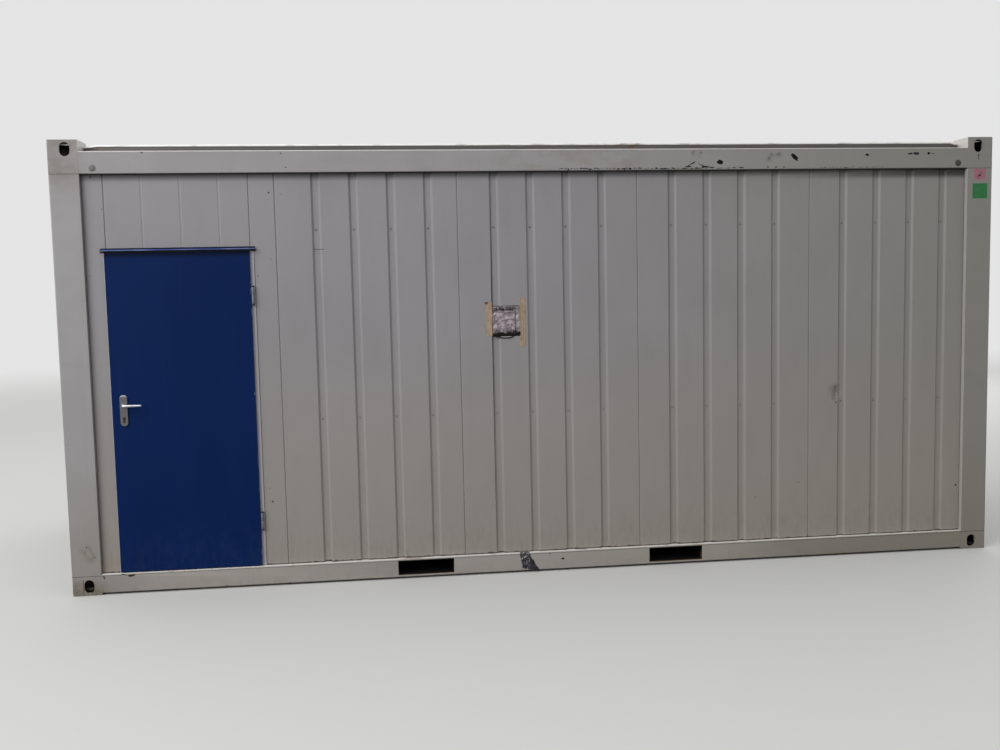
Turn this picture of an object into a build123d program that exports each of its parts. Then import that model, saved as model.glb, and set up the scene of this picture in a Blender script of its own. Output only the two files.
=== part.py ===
from build123d import *
import os

# Portable site cabin with a steel corner-post frame, sandwich walls and one hinged door.
# Millimetres, +Z up, X along the length, the door in the front wall at -Y.
# The origin is on the ground at the centre of the four base corner castings.

# Overall size
CABIN_LENGTH = 6058.0
CABIN_WIDTH = 2438.0
CABIN_HEIGHT = 2800.0

# Corner castings and corner posts
CORNER_LENGTH = 178.0
CORNER_DEPTH = 170.0
CORNER_ROUND = 9.0
CASTING_HEIGHT = 121.0
ROOF_CORNER_HEIGHT = 205.0
CASTING_WALL = 11.0
CASTING_PLATE = 18.0
CASTING_ROOM_HEIGHT = 86.0
SLOT_INSET_X = 102.5
SLOT_INSET_Y = 89.5
SLOT_LENGTH = 124.0
SLOT_WIDTH = 63.5
FACE_HOLE_WIDTH = 60.0
END_HOLE_WIDTH = 50.0
SIDE_HOLE_HEIGHT = 84.0
SIDE_HOLE_FROM_PLATE_FACE = 57.0

# Cold-formed frame sections
FRAME_SHEET = 4.0
FRAME_BEND = 7.0
RAIL_FLANGE = 100.0
FLOOR_RAIL_BOTTOM = 12.0
FLOOR_RAIL_TOP = 130.0
ROOF_RAIL_HEIGHT = 135.0
RAIL_PLUG_RADIUS = 21.0
RAIL_PLUG_THICKNESS = 3.0
RAIL_PLUG_FROM_POST = 73.0
RAIL_PLUG_SHIFT = 6.0
RAIL_PLUG_HEIGHT = 35.0

# Fork pockets and floor
POCKET_SPACING = 1660.0
POCKET_WIDTH = 352.0
POCKET_HEIGHT = 85.0
POCKET_WALL = 4.0
POCKET_FLOOR = 30.0
JOIST_WIDTH = 50.0
JOIST_PITCH = 450.0
JOIST_POCKET_GAP = 40.0
UNDERFLOOR_SHEET = 2.0
FLOOR_BOARD = 22.0
FLOOR_COVERING = 3.0

# Walls and their pressed grooves
WALL_SETBACK = 28.0
WALL_THICKNESS = 60.0
LINING_THICKNESS = 10.0
GROOVE_PITCH = 233.2
LONG_WALL_SHIFT = 12.0
GROOVES_PER_PANEL = 5
GROOVE_MOUTH = 58.0
GROOVE_BED = 34.0
GROOVE_DEPTH = 12.0
SEAM_WIDTH = 8.0
SEAM_DEPTH = 5.0
CUT_PANEL_FIRST_GROOVE = 183.5
HEADER_FIRST_GROOVE = 180.0
HEADER_GROOVE_PITCH = 230.0
HEADER_GROOVE_WIDTH = 14.0
HEADER_GROOVE_DEPTH = 1.5

# Square cut-out in the front wall and the foil-faced block that closes it
CUTOUT_OFFSET = -273.0
CUTOUT_WIDTH = 184.0
CUTOUT_HEIGHT = 196.0
CUTOUT_LEVEL = 1648.0
PATCH_RECESS = 6.0

# Roof
ROOF_SETBACK = 45.0
ROOF_HEIGHT = 42.0
ROOF_CORNER_GAP = 6.0
ROOF_CUT_LENGTH = 98.0
ROOF_CUT_DEPTH = 71.0
ROOF_RIB_PITCH = 333.0
ROOF_RIB_WIDTH = 60.0
ROOF_RIB_HEIGHT = 8.0
ROOF_RIB_INSET = 80.0
CEILING_DROP = 95.0
CEILING_BOARD = 20.0

# Door and its frame
DOOR_FROM_POST = 116.0
DOOR_PANEL_WIDTH = 1146.0
LEAF_WIDTH = 868.0
LEAF_HEIGHT = 1986.0
LEAF_THICKNESS = 45.0
LEAF_LAP = 20.0
LAP_THICKNESS = 10.0
DOOR_GAP = 6.0
FRAME_FLANGE = 3.0
LOCK_FLANGE_SHOWN = 8.0
HINGE_FLANGE_SHOWN = 25.0
HEAD_FLANGE_SHOWN = 7.0
LOCK_JAMB = 4.0
HINGE_JAMB = 18.0
STOP_WIDTH = 20.0
ARCHITRAVE = 24.0
DRIP_RAIL_REACH = 28.0
DRIP_RAIL_HEIGHT = 18.0
DRIP_RAIL_LIP = 11.0
DRIP_RAIL_PAST_LOCK_EDGE = 22.0
DRIP_RAIL_PAST_HINGE_EDGE = 33.0
DRIP_RAIL_GAP = 2.0
DRIP_RAIL_SHEET = 3.0

# Hinges
KNUCKLE_RADIUS = 9.0
KNUCKLE_LENGTH = 55.0
KNUCKLE_SPLIT = 0.5
KNUCKLE_CAP = 5.0
PIN_RADIUS = 5.0
PIN_CLEARANCE = 0.05
HINGE_EDGE_GAP = 2.0
HINGE_FACE_GAP = 1.5
HINGE_LUG = 4.0
HINGE_FOOT = 8.0
LOWER_HINGE_LEVEL = 365.0
UPPER_HINGE_LEVEL = 1790.0

# Lever handles and lock
LEVER_LEVEL = 1184.0
LEVER_BACKSET = 71.5
LEVER_LENGTH = 116.0
LEVER_RADIUS = 9.5
LEVER_REACH = 44.0
LEVER_FACE_GAP = 0.3
NECK_CLEARANCE = 0.05
SPINDLE_SIZE = 8.0
SPINDLE_HOLE_RADIUS = 8.0
PLATE_WIDTH = 45.0
PLATE_HEIGHT = 192.0
PLATE_THICKNESS = 9.0
PLATE_ROUND = 20.0
PLATE_ABOVE_LEVER = 65.0
CYLINDER_DROP = 80.0
CYLINDER_RADIUS = 8.5
CYLINDER_WEB = 10.0
CYLINDER_HEIGHT = 33.0
CYLINDER_PROUD = 3.0
CYLINDER_CLEARANCE = 0.3
FACEPLATE_LENGTH = 235.0
FACEPLATE_WIDTH = 20.0
FACEPLATE_THICKNESS = 3.0
FACEPLATE_ABOVE_LEVER = 85.0
STRIKE_WIDTH = 12.0
LATCH_STRIKE_HEIGHT = 30.0
BOLT_STRIKE_HEIGHT = 44.0

# Levels and planes worked out from the sizes above
END = CABIN_LENGTH / 2
SIDE = CABIN_WIDTH / 2
ROOF_RAIL_BOTTOM = CABIN_HEIGHT - ROOF_CORNER_HEIGHT
ROOF_RAIL_TOP = ROOF_RAIL_BOTTOM + ROOF_RAIL_HEIGHT
CEILING_LEVEL = ROOF_RAIL_BOTTOM - CEILING_DROP
WALL_END = END - CORNER_LENGTH
WALL_SIDE = SIDE - CORNER_DEPTH
WALL_FACE = WALL_SETBACK
WALL_BACK = WALL_SETBACK + WALL_THICKNESS
LINING_FACE = WALL_BACK + LINING_THICKNESS
FLOOR_BOARD_TOP = FLOOR_RAIL_TOP + FLOOR_BOARD
FLOOR_TOP = FLOOR_BOARD_TOP + FLOOR_COVERING
PANEL_WIDTH = GROOVE_PITCH * GROOVES_PER_PANEL
FIRST_SEAM = LONG_WALL_SHIFT - PANEL_WIDTH / 2
SECOND_SEAM = FIRST_SEAM + PANEL_WIDTH
THIRD_SEAM = SECOND_SEAM + PANEL_WIDTH

LEAF_LEFT = -WALL_END + DOOR_FROM_POST
LEAF_RIGHT = LEAF_LEFT + LEAF_WIDTH
LEAF_BOTTOM = FLOOR_RAIL_TOP + DOOR_GAP
LEAF_TOP = LEAF_BOTTOM + LEAF_HEIGHT
DOOR_PANEL_RIGHT = -WALL_END + DOOR_PANEL_WIDTH
REBATE_LEFT = LEAF_LEFT + LEAF_LAP - DOOR_GAP
REBATE_RIGHT = LEAF_RIGHT - LEAF_LAP + DOOR_GAP
REBATE_TOP = LEAF_TOP - LEAF_LAP + DOOR_GAP
OPENING_LEFT = REBATE_LEFT - LOCK_JAMB
OPENING_RIGHT = REBATE_RIGHT + HINGE_JAMB
OPENING_TOP = REBATE_TOP + LOCK_JAMB
PASSAGE_LEFT = REBATE_LEFT + STOP_WIDTH
PASSAGE_RIGHT = REBATE_RIGHT - STOP_WIDTH
FLANGE_FACE = -SIDE + WALL_FACE - FRAME_FLANGE
LEAF_FRONT = FLANGE_FACE - DOOR_GAP - LAP_THICKNESS
LEAF_BACK = LEAF_FRONT + LEAF_THICKNESS
STOP_FRONT = LEAF_BACK + DOOR_GAP
HINGE_X = LEAF_RIGHT + HINGE_EDGE_GAP + KNUCKLE_RADIUS
HINGE_Y = FLANGE_FACE - HINGE_FACE_GAP - KNUCKLE_RADIUS
LEVER_X = LEAF_LEFT + LEVER_BACKSET


def block(left, right, front, back, bottom, top):
    """A rectangular solid between six planes."""
    size = Box(right - left, back - front, top - bottom)
    return Pos((left + right) / 2, (front + back) / 2, (bottom + top) / 2) * size


def prism(points, bottom, top):
    """A solid with a plan outline, standing between two levels."""
    outline = make_face(Polyline(*points, close=True))
    return Pos(0, 0, bottom) * extrude(outline, top - bottom)


def in_four_corners(piece):
    """Four mirrored copies of a front-left corner piece."""
    front = [piece, mirror(piece, Plane.YZ)]
    back = [mirror(each, Plane.XZ) for each in front]
    return Compound(children=front + back)


def front_and_back(piece):
    """A front piece and its mirrored copy at the back."""
    return Compound(children=[piece, mirror(piece, Plane.XZ)])


def left_and_right(piece):
    """A left-hand piece and its mirrored copy on the right."""
    return Compound(children=[piece, mirror(piece, Plane.YZ)])


# Corner castings

def slot_hole(centre_x, centre_y, bottom, top):
    """The long lifting slot of a casting's top or bottom plate."""
    outline = SlotOverall(SLOT_LENGTH, SLOT_WIDTH)
    return Pos(centre_x, centre_y, bottom) * extrude(outline, top - bottom)


def side_holes(level):
    """The upright oval holes in a casting's front face and end face."""
    face_outline = SlotOverall(SIDE_HOLE_HEIGHT, FACE_HOLE_WIDTH, rotation=90)
    face_hole = extrude(Plane.XZ * face_outline, CASTING_WALL, both=True)
    end_outline = SlotOverall(SIDE_HOLE_HEIGHT, END_HOLE_WIDTH, rotation=90)
    end_hole = extrude(Plane.YZ * end_outline, CASTING_WALL, both=True)
    in_face = Pos(SLOT_INSET_X, 0, level) * face_hole
    in_end = Pos(0, SLOT_INSET_Y, level) * end_hole
    return in_face + in_end


def corner_block(bottom, top):
    """A block in the front-left corner with the rounded outer edge of the posts."""
    piece = block(-END, -END + CORNER_LENGTH, -SIDE, -SIDE + CORNER_DEPTH, bottom, top)
    outer_corner = Vertex(-END, -SIDE, (bottom + top) / 2)
    outer_edge = piece.edges().filter_by(Axis.Z).sort_by_distance(outer_corner)[0]
    return fillet(outer_edge, CORNER_ROUND)


def corner_casting():
    """A hollow casting in the front-left corner, with its slot below."""
    wall = CASTING_WALL
    room = block(wall, CORNER_LENGTH - wall, wall, CORNER_DEPTH - wall,
                 CASTING_PLATE, CASTING_PLATE + CASTING_ROOM_HEIGHT)
    slot = slot_hole(SLOT_INSET_X, SLOT_INSET_Y, 0, CASTING_PLATE)
    hollow = room + slot + side_holes(SIDE_HOLE_FROM_PLATE_FACE)
    return corner_block(0, CASTING_HEIGHT) - Pos(-END, -SIDE, 0) * hollow


def base_castings():
    """Four castings that the cabin stands on."""
    return in_four_corners(corner_casting())


def top_castings():
    """Four castings above the roof rails, which carry a cabin above."""
    return in_four_corners(Pos(0, 0, CABIN_HEIGHT) * mirror(corner_casting(), Plane.XY))


def roof_corner_blocks():
    """Four blocks between the posts, the roof rails and the top castings."""
    return in_four_corners(corner_block(ROOF_RAIL_BOTTOM, CABIN_HEIGHT - CASTING_HEIGHT))


def corner_posts():
    """Folded L-shaped posts whose lips wrap the ends of the walls."""
    inner_x = CORNER_LENGTH - FRAME_SHEET
    inner_y = CORNER_DEPTH - FRAME_SHEET
    outline = [(0, 0), (CORNER_LENGTH, 0), (CORNER_LENGTH, WALL_BACK), (inner_x, WALL_BACK),
               (inner_x, FRAME_SHEET), (FRAME_SHEET, FRAME_SHEET), (FRAME_SHEET, inner_y),
               (WALL_BACK, inner_y), (WALL_BACK, CORNER_DEPTH), (0, CORNER_DEPTH)]
    post = prism(outline, CASTING_HEIGHT, ROOF_RAIL_BOTTOM)
    upright = post.edges().filter_by(Axis.Z)
    middle = (CASTING_HEIGHT + ROOF_RAIL_BOTTOM) / 2
    outer_edge = upright.sort_by_distance(Vertex(0, 0, middle))[0]
    post = fillet(outer_edge, CORNER_ROUND)
    return in_four_corners(Pos(-END, -SIDE, 0) * post)


# Floor and roof rails

def channel(half_length, bottom, top):
    """A folded channel along X with its web on the local XZ plane and its flanges towards +Y."""
    outside = block(-half_length, half_length, 0, RAIL_FLANGE, bottom, top)
    bends = outside.edges().filter_by(Axis.X).group_by(Axis.Y)[0]
    outside = fillet(bends, FRAME_BEND)
    hollow = block(-half_length, half_length, FRAME_SHEET, RAIL_FLANGE,
                   bottom + FRAME_SHEET, top - FRAME_SHEET)
    return outside - hollow


def side_rail(bottom, top):
    """A front rail between two castings."""
    return Pos(0, -SIDE, 0) * channel(WALL_END, bottom, top)


def end_rail(bottom, top):
    """A left-hand end rail between two castings."""
    return Pos(-END, 0, 0) * (Rot(0, 0, -90) * channel(WALL_SIDE, bottom, top))


def pocket_block(side, growth, front, back):
    """The space of one fork pocket, grown on four sides."""
    middle = side * POCKET_SPACING / 2
    half = POCKET_WIDTH / 2 + growth
    return block(middle - half, middle + half, front, back,
                 POCKET_FLOOR - growth, POCKET_FLOOR + POCKET_HEIGHT + growth)


def floor_rail_front():
    """The front floor rail with its two fork openings."""
    rail = side_rail(FLOOR_RAIL_BOTTOM, FLOOR_RAIL_TOP)
    for side in (-1, 1):
        rail -= pocket_block(side, POCKET_WALL, -SIDE - FRAME_SHEET, -SIDE + 2 * FRAME_SHEET)
    return rail


def floor_rail_back():
    """The back floor rail."""
    return mirror(floor_rail_front(), Plane.XZ)


def floor_end_rails():
    """The two short floor rails."""
    return left_and_right(end_rail(FLOOR_RAIL_BOTTOM, FLOOR_RAIL_TOP))


def roof_side_rails():
    """The two long roof rails."""
    return front_and_back(side_rail(ROOF_RAIL_BOTTOM, ROOF_RAIL_TOP))


def roof_end_rails():
    """The two short roof rails."""
    return left_and_right(end_rail(ROOF_RAIL_BOTTOM, ROOF_RAIL_TOP))


def rail_plugs():
    """Round plugs near the ends of the long roof rails."""
    middle_x = -WALL_END + RAIL_PLUG_FROM_POST
    plug = Rot(90, 0, 0) * Cylinder(RAIL_PLUG_RADIUS, RAIL_PLUG_THICKNESS)
    level = ROOF_RAIL_BOTTOM + RAIL_PLUG_HEIGHT
    plugs = in_four_corners(Pos(middle_x, -SIDE - RAIL_PLUG_THICKNESS / 2, level) * plug)
    return Pos(RAIL_PLUG_SHIFT, 0, 0) * plugs


# Floor

def fork_pockets():
    """Two rectangular tubes right through the floor."""
    tubes = []
    for side in (-1, 1):
        tube = pocket_block(side, POCKET_WALL, -SIDE, SIDE)
        tubes.append(tube - pocket_block(side, 0, -SIDE, SIDE))
    return Compound(children=tubes)


def joist_places():
    """Distances of the joists from the middle of the cabin, on one side."""
    pocket_half = POCKET_WIDTH / 2 + POCKET_WALL
    beside_pocket = pocket_half + JOIST_POCKET_GAP + JOIST_WIDTH / 2
    first_outer = POCKET_SPACING / 2 + beside_pocket
    room = WALL_END - JOIST_WIDTH / 2 - first_outer
    outer = [first_outer + JOIST_PITCH * step for step in range(int(room // JOIST_PITCH) + 1)]
    return [POCKET_SPACING / 2 - beside_pocket] + outer


def floor_joists():
    """Joists across the floor, clear of the fork pockets."""
    reach = SIDE - RAIL_FLANGE
    bottom = FLOOR_RAIL_BOTTOM + FRAME_SHEET + UNDERFLOOR_SHEET
    joist = block(-JOIST_WIDTH / 2, JOIST_WIDTH / 2, -reach, reach, bottom, FLOOR_RAIL_TOP)
    joists = [joist]
    for place in joist_places():
        joists.append(Pos(place, 0, 0) * joist)
        joists.append(Pos(-place, 0, 0) * joist)
    return Compound(children=joists)


def underfloor_sheet():
    """The closing sheet on the lower flanges, notched round the castings."""
    bottom = FLOOR_RAIL_BOTTOM + FRAME_SHEET
    top = bottom + UNDERFLOOR_SHEET
    reach_x = END - FRAME_SHEET
    reach_y = SIDE - FRAME_SHEET
    long_way = block(-reach_x, reach_x, -WALL_SIDE, WALL_SIDE, bottom, top)
    return long_way + block(-WALL_END, WALL_END, -reach_y, reach_y, bottom, top)


def floor_board():
    """The load-bearing floor board."""
    reach_x = END - WALL_BACK
    reach_y = SIDE - WALL_BACK
    return block(-reach_x, reach_x, -reach_y, reach_y, FLOOR_RAIL_TOP, FLOOR_BOARD_TOP)


def floor_covering():
    """The vinyl covering between the linings."""
    reach_x = END - LINING_FACE
    reach_y = SIDE - LINING_FACE
    return block(-reach_x, reach_x, -reach_y, reach_y, FLOOR_BOARD_TOP, FLOOR_TOP)


# Walls

def groove_points(middle, mouth, bed, depth):
    """Four outline points of a pressed groove, from left to right."""
    return [(middle - mouth / 2, 0), (middle - bed / 2, depth),
            (middle + bed / 2, depth), (middle + mouth / 2, 0)]


def pressed_panel(left, right, grooves, bottom, top):
    """A wall panel with its outer face on the local XZ plane and half a seam at each edge."""
    points = [(left, WALL_THICKNESS), (left, SEAM_DEPTH), (left + SEAM_WIDTH / 2, 0)]
    for groove in grooves:
        points += groove
    points += [(right - SEAM_WIDTH / 2, 0), (right, SEAM_DEPTH), (right, WALL_THICKNESS)]
    return prism(points, bottom, top)


def wall_grooves(left, right, shift):
    """Grooves on a grid with its middle at the shift, with a seam in place of every fifth one."""
    grooves = []
    first_step = int(-END // GROOVE_PITCH)
    for step in range(first_step, -first_step):
        middle = shift + GROOVE_PITCH * (step + 0.5)
        if middle - GROOVE_MOUTH < left or middle + GROOVE_MOUTH > right:
            continue
        if (step - GROOVES_PER_PANEL // 2) % GROOVES_PER_PANEL == 0:
            grooves.append(groove_points(middle, SEAM_WIDTH, SEAM_WIDTH / 4, SEAM_DEPTH))
        else:
            grooves.append(groove_points(middle, GROOVE_MOUTH, GROOVE_BED, GROOVE_DEPTH))
    return grooves


def long_wall(left, right):
    """A length of front wall on the common grid."""
    grooves = wall_grooves(left, right, LONG_WALL_SHIFT)
    panel = pressed_panel(left, right, grooves, FLOOR_RAIL_TOP, ROOF_RAIL_BOTTOM)
    return Pos(0, -SIDE + WALL_FACE, 0) * panel


def front_panel_b():
    """The second grooved front panel, with its square cut-out."""
    return long_wall(FIRST_SEAM, SECOND_SEAM) - cutout_block(0)


def front_panel_c():
    """The third grooved front panel."""
    return long_wall(SECOND_SEAM, THIRD_SEAM)


def front_panel_d():
    """The last grooved front panel, cut to meet the post."""
    return long_wall(THIRD_SEAM, WALL_END)


def front_panel_a():
    """The grooved panel beside the door panel, cut from its left edge."""
    grooves = []
    middle = FIRST_SEAM - CUT_PANEL_FIRST_GROOVE
    while middle - GROOVE_MOUTH > DOOR_PANEL_RIGHT:
        grooves.insert(0, groove_points(middle, GROOVE_MOUTH, GROOVE_BED, GROOVE_DEPTH))
        middle -= GROOVE_PITCH
    panel = pressed_panel(DOOR_PANEL_RIGHT, FIRST_SEAM, grooves, FLOOR_RAIL_TOP, ROOF_RAIL_BOTTOM)
    return Pos(0, -SIDE + WALL_FACE, 0) * panel


def cutout_block(recess):
    """The space of the square cut-out, from a depth behind the outer face."""
    half = CUTOUT_WIDTH / 2
    front = -SIDE + WALL_FACE + recess
    return block(CUTOUT_OFFSET - half, CUTOUT_OFFSET + half, front, -SIDE + WALL_BACK,
                 CUTOUT_LEVEL - CUTOUT_HEIGHT / 2, CUTOUT_LEVEL + CUTOUT_HEIGHT / 2)


def foil_patch():
    """The block that closes the cut-out."""
    return cutout_block(PATCH_RECESS)


def wall_strip_lock_side():
    """The flat strip between the post and the lock side of the door."""
    return Pos(0, -SIDE + WALL_FACE, 0) * pressed_panel(-WALL_END, OPENING_LEFT, [],
                                                        FLOOR_RAIL_TOP, ROOF_RAIL_BOTTOM)


def wall_strip_hinge_side():
    """The flat strip between the hinge side of the door and the first grooved panel."""
    return Pos(0, -SIDE + WALL_FACE, 0) * pressed_panel(OPENING_RIGHT, DOOR_PANEL_RIGHT, [],
                                                        FLOOR_RAIL_TOP, ROOF_RAIL_BOTTOM)


def wall_over_door():
    """The lightly pressed panel over the door."""
    grooves = []
    middle = OPENING_RIGHT - HEADER_FIRST_GROOVE
    while middle - HEADER_GROOVE_WIDTH * 2 > OPENING_LEFT:
        bed = HEADER_GROOVE_WIDTH / 2
        grooves.insert(0, groove_points(middle, HEADER_GROOVE_WIDTH, bed, HEADER_GROOVE_DEPTH))
        middle -= HEADER_GROOVE_PITCH
    panel = pressed_panel(OPENING_LEFT, OPENING_RIGHT, grooves, OPENING_TOP, ROOF_RAIL_BOTTOM)
    return Pos(0, -SIDE + WALL_FACE, 0) * panel


def back_wall():
    """The closed back wall."""
    return mirror(long_wall(-WALL_END, WALL_END), Plane.XZ)


def end_walls():
    """The two closed end walls."""
    grooves = wall_grooves(-WALL_SIDE, WALL_SIDE, 0)
    panel = pressed_panel(-WALL_SIDE, WALL_SIDE, grooves, FLOOR_RAIL_TOP, ROOF_RAIL_BOTTOM)
    return left_and_right(Pos(-END + WALL_FACE, 0, 0) * (Rot(0, 0, -90) * panel))


def lining_board(left, right, bottom):
    """A length of the front lining."""
    return block(left, right, -SIDE + WALL_BACK, -SIDE + LINING_FACE, bottom, CEILING_LEVEL)


def front_lining():
    """The front lining on both sides of the doorway."""
    reach = END - LINING_FACE
    beside_lock = lining_board(-reach, OPENING_LEFT, FLOOR_BOARD_TOP)
    return Compound(children=[beside_lock, lining_board(OPENING_RIGHT, reach, FLOOR_BOARD_TOP)])


def lining_over_door():
    """The front lining over the doorway."""
    return lining_board(OPENING_LEFT, OPENING_RIGHT, OPENING_TOP)


def back_lining():
    """The back lining."""
    reach = END - LINING_FACE
    return mirror(lining_board(-reach, reach, FLOOR_BOARD_TOP), Plane.XZ)


def end_linings():
    """The linings of both end walls."""
    reach = SIDE - WALL_BACK
    return left_and_right(block(-END + WALL_BACK, -END + LINING_FACE, -reach, reach,
                                FLOOR_BOARD_TOP, CEILING_LEVEL))


# Roof

def both_sides(half_outline):
    """A closed outline from its points on the +Y side, ordered towards +X."""
    return half_outline + [(x, -y) for x, y in reversed(half_outline)]


def roof_panel():
    """The roof between the corner castings, with shallow cross ribs, standing on the long rails."""
    reach_y = SIDE - ROOF_SETBACK
    end_x = WALL_END - ROOF_CORNER_GAP
    cut_x = end_x - ROOF_CUT_LENGTH
    cut_y = reach_y - ROOF_CUT_DEPTH
    outline = both_sides([(-end_x, cut_y), (-cut_x, reach_y), (cut_x, reach_y), (end_x, cut_y)])
    top = ROOF_RAIL_TOP + ROOF_HEIGHT
    panel = prism(outline, ROOF_RAIL_TOP, top)
    rib_reach = reach_y - ROOF_RIB_INSET
    ribs_each_side = int((end_x - ROOF_RIB_WIDTH) // ROOF_RIB_PITCH)
    for step in range(-ribs_each_side, ribs_each_side + 1):
        middle = ROOF_RIB_PITCH * step
        panel += block(middle - ROOF_RIB_WIDTH / 2, middle + ROOF_RIB_WIDTH / 2, -rib_reach, rib_reach,
                       top, top + ROOF_RIB_HEIGHT)
    return panel


def roof_end_panels():
    """The two narrow ends of the roof, between the castings of each end."""
    end_x = END - ROOF_SETBACK
    reach_y = WALL_SIDE - ROOF_CORNER_GAP
    outline = both_sides([(WALL_END - ROOF_CORNER_GAP, reach_y), (end_x - ROOF_CUT_DEPTH, reach_y),
                          (end_x, reach_y - ROOF_CUT_LENGTH)])
    return left_and_right(prism(outline, ROOF_RAIL_TOP, ROOF_RAIL_TOP + ROOF_HEIGHT))


def ceiling_board():
    """The ceiling, lying on the linings."""
    reach_x = END - WALL_BACK
    reach_y = SIDE - WALL_BACK
    return block(-reach_x, reach_x, -reach_y, reach_y, CEILING_LEVEL, CEILING_LEVEL + CEILING_BOARD)


# Door frame

def lock_jamb():
    """The jamb on the lock side, with the strike openings."""
    wall_face = -SIDE + WALL_FACE
    wall_back = -SIDE + WALL_BACK
    inside = -SIDE + LINING_FACE
    jamb = block(LEAF_LEFT - LOCK_FLANGE_SHOWN, REBATE_LEFT, FLANGE_FACE, wall_face,
                 FLOOR_RAIL_TOP, REBATE_TOP)
    jamb += block(OPENING_LEFT, REBATE_LEFT, FLANGE_FACE, wall_back, FLOOR_RAIL_TOP, REBATE_TOP)
    jamb += block(OPENING_LEFT, PASSAGE_LEFT, STOP_FRONT, wall_back, FLOOR_RAIL_TOP, REBATE_TOP)
    jamb += block(OPENING_LEFT, PASSAGE_LEFT, STOP_FRONT, inside, FLOOR_TOP, REBATE_TOP)
    jamb += block(PASSAGE_LEFT - STOP_WIDTH - ARCHITRAVE, PASSAGE_LEFT, inside, inside + FRAME_FLANGE,
                  FLOOR_TOP, REBATE_TOP)
    strike_middle = (LEAF_FRONT + LAP_THICKNESS + LEAF_BACK) / 2
    bolt_level = LEVER_LEVEL - CYLINDER_DROP
    for level, height in ((LEVER_LEVEL, LATCH_STRIKE_HEIGHT), (bolt_level, BOLT_STRIKE_HEIGHT)):
        jamb -= block(OPENING_LEFT, REBATE_LEFT, strike_middle - STRIKE_WIDTH / 2,
                      strike_middle + STRIKE_WIDTH / 2, level - height / 2, level + height / 2)
    return jamb


def hinge_jamb():
    """The jamb on the hinge side."""
    wall_face = -SIDE + WALL_FACE
    wall_back = -SIDE + WALL_BACK
    inside = -SIDE + LINING_FACE
    jamb = block(REBATE_RIGHT, LEAF_RIGHT + HINGE_FLANGE_SHOWN, FLANGE_FACE, wall_face,
                 FLOOR_RAIL_TOP, REBATE_TOP)
    jamb += block(REBATE_RIGHT, OPENING_RIGHT, FLANGE_FACE, wall_back, FLOOR_RAIL_TOP, REBATE_TOP)
    jamb += block(PASSAGE_RIGHT, OPENING_RIGHT, STOP_FRONT, wall_back, FLOOR_RAIL_TOP, REBATE_TOP)
    jamb += block(PASSAGE_RIGHT, OPENING_RIGHT, STOP_FRONT, inside, FLOOR_TOP, REBATE_TOP)
    jamb += block(PASSAGE_RIGHT, PASSAGE_RIGHT + STOP_WIDTH + ARCHITRAVE, inside, inside + FRAME_FLANGE,
                  FLOOR_TOP, REBATE_TOP)
    return jamb


def door_jambs():
    """Both jambs."""
    return Compound(children=[lock_jamb(), hinge_jamb()])


def door_head():
    """The head of the door frame, on top of the jambs."""
    wall_face = -SIDE + WALL_FACE
    inside = -SIDE + LINING_FACE
    head = block(LEAF_LEFT - LOCK_FLANGE_SHOWN, LEAF_RIGHT + HINGE_FLANGE_SHOWN, FLANGE_FACE, wall_face,
                 REBATE_TOP, LEAF_TOP + HEAD_FLANGE_SHOWN)
    head += block(OPENING_LEFT, OPENING_RIGHT, FLANGE_FACE, inside, REBATE_TOP, OPENING_TOP)
    head += block(PASSAGE_LEFT, PASSAGE_RIGHT, STOP_FRONT, inside, REBATE_TOP - STOP_WIDTH, OPENING_TOP)
    head += block(PASSAGE_LEFT - STOP_WIDTH - ARCHITRAVE, PASSAGE_RIGHT + STOP_WIDTH + ARCHITRAVE,
                  inside, inside + FRAME_FLANGE, REBATE_TOP, OPENING_TOP + ARCHITRAVE)
    return head


def threshold():
    """The sill that the closed leaf stands in front of."""
    wall_back = -SIDE + WALL_BACK
    inside = -SIDE + LINING_FACE
    sill = block(PASSAGE_LEFT, PASSAGE_RIGHT, STOP_FRONT, wall_back, FLOOR_RAIL_TOP, FLOOR_TOP)
    return sill + block(PASSAGE_LEFT, PASSAGE_RIGHT, STOP_FRONT, inside, FLOOR_BOARD_TOP, FLOOR_TOP)


def drip_rail():
    """The folded rain strip over the door."""
    wall_face = -SIDE + WALL_FACE
    bottom = LEAF_TOP + HEAD_FLANGE_SHOWN + DRIP_RAIL_GAP
    top = bottom + DRIP_RAIL_HEIGHT
    front = wall_face - DRIP_RAIL_REACH
    lip_top = bottom + DRIP_RAIL_LIP
    sheet = DRIP_RAIL_SHEET
    outline = [(wall_face, lip_top - sheet), (wall_face, top), (wall_face - sheet, top),
               (wall_face - sheet, lip_top + sheet), (front, lip_top), (front, bottom),
               (front + sheet, bottom), (front + sheet, lip_top - sheet)]
    face = make_face(Plane.YZ * Polyline(*outline, close=True))
    left = LEAF_LEFT - DRIP_RAIL_PAST_LOCK_EDGE
    right = LEAF_RIGHT + DRIP_RAIL_PAST_HINGE_EDGE
    return Pos(left, 0, 0) * extrude(face, right - left)


# Door leaf and lock

def lock_profile(growth):
    """The outline of a profile cylinder in the XZ plane, centred on its round part."""
    radius = CYLINDER_RADIUS + growth
    web_bottom = CYLINDER_RADIUS - CYLINDER_HEIGHT - growth
    web = Pos(0, web_bottom / 2) * Rectangle(CYLINDER_WEB + 2 * growth, -web_bottom)
    return Plane.XZ * (Circle(radius) + web)


def lock_solid(growth, front, back):
    """A profile cylinder between two planes at the lock's place."""
    body = extrude(lock_profile(growth), front - back)
    return Pos(LEVER_X, front, LEVER_LEVEL - CYLINDER_DROP) * body


def across(radius, front, back):
    """A round bar or hole along Y at the lever's pivot."""
    bar = Rot(90, 0, 0) * Cylinder(radius, back - front)
    return Pos(LEVER_X, (front + back) / 2, LEVER_LEVEL) * bar


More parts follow.
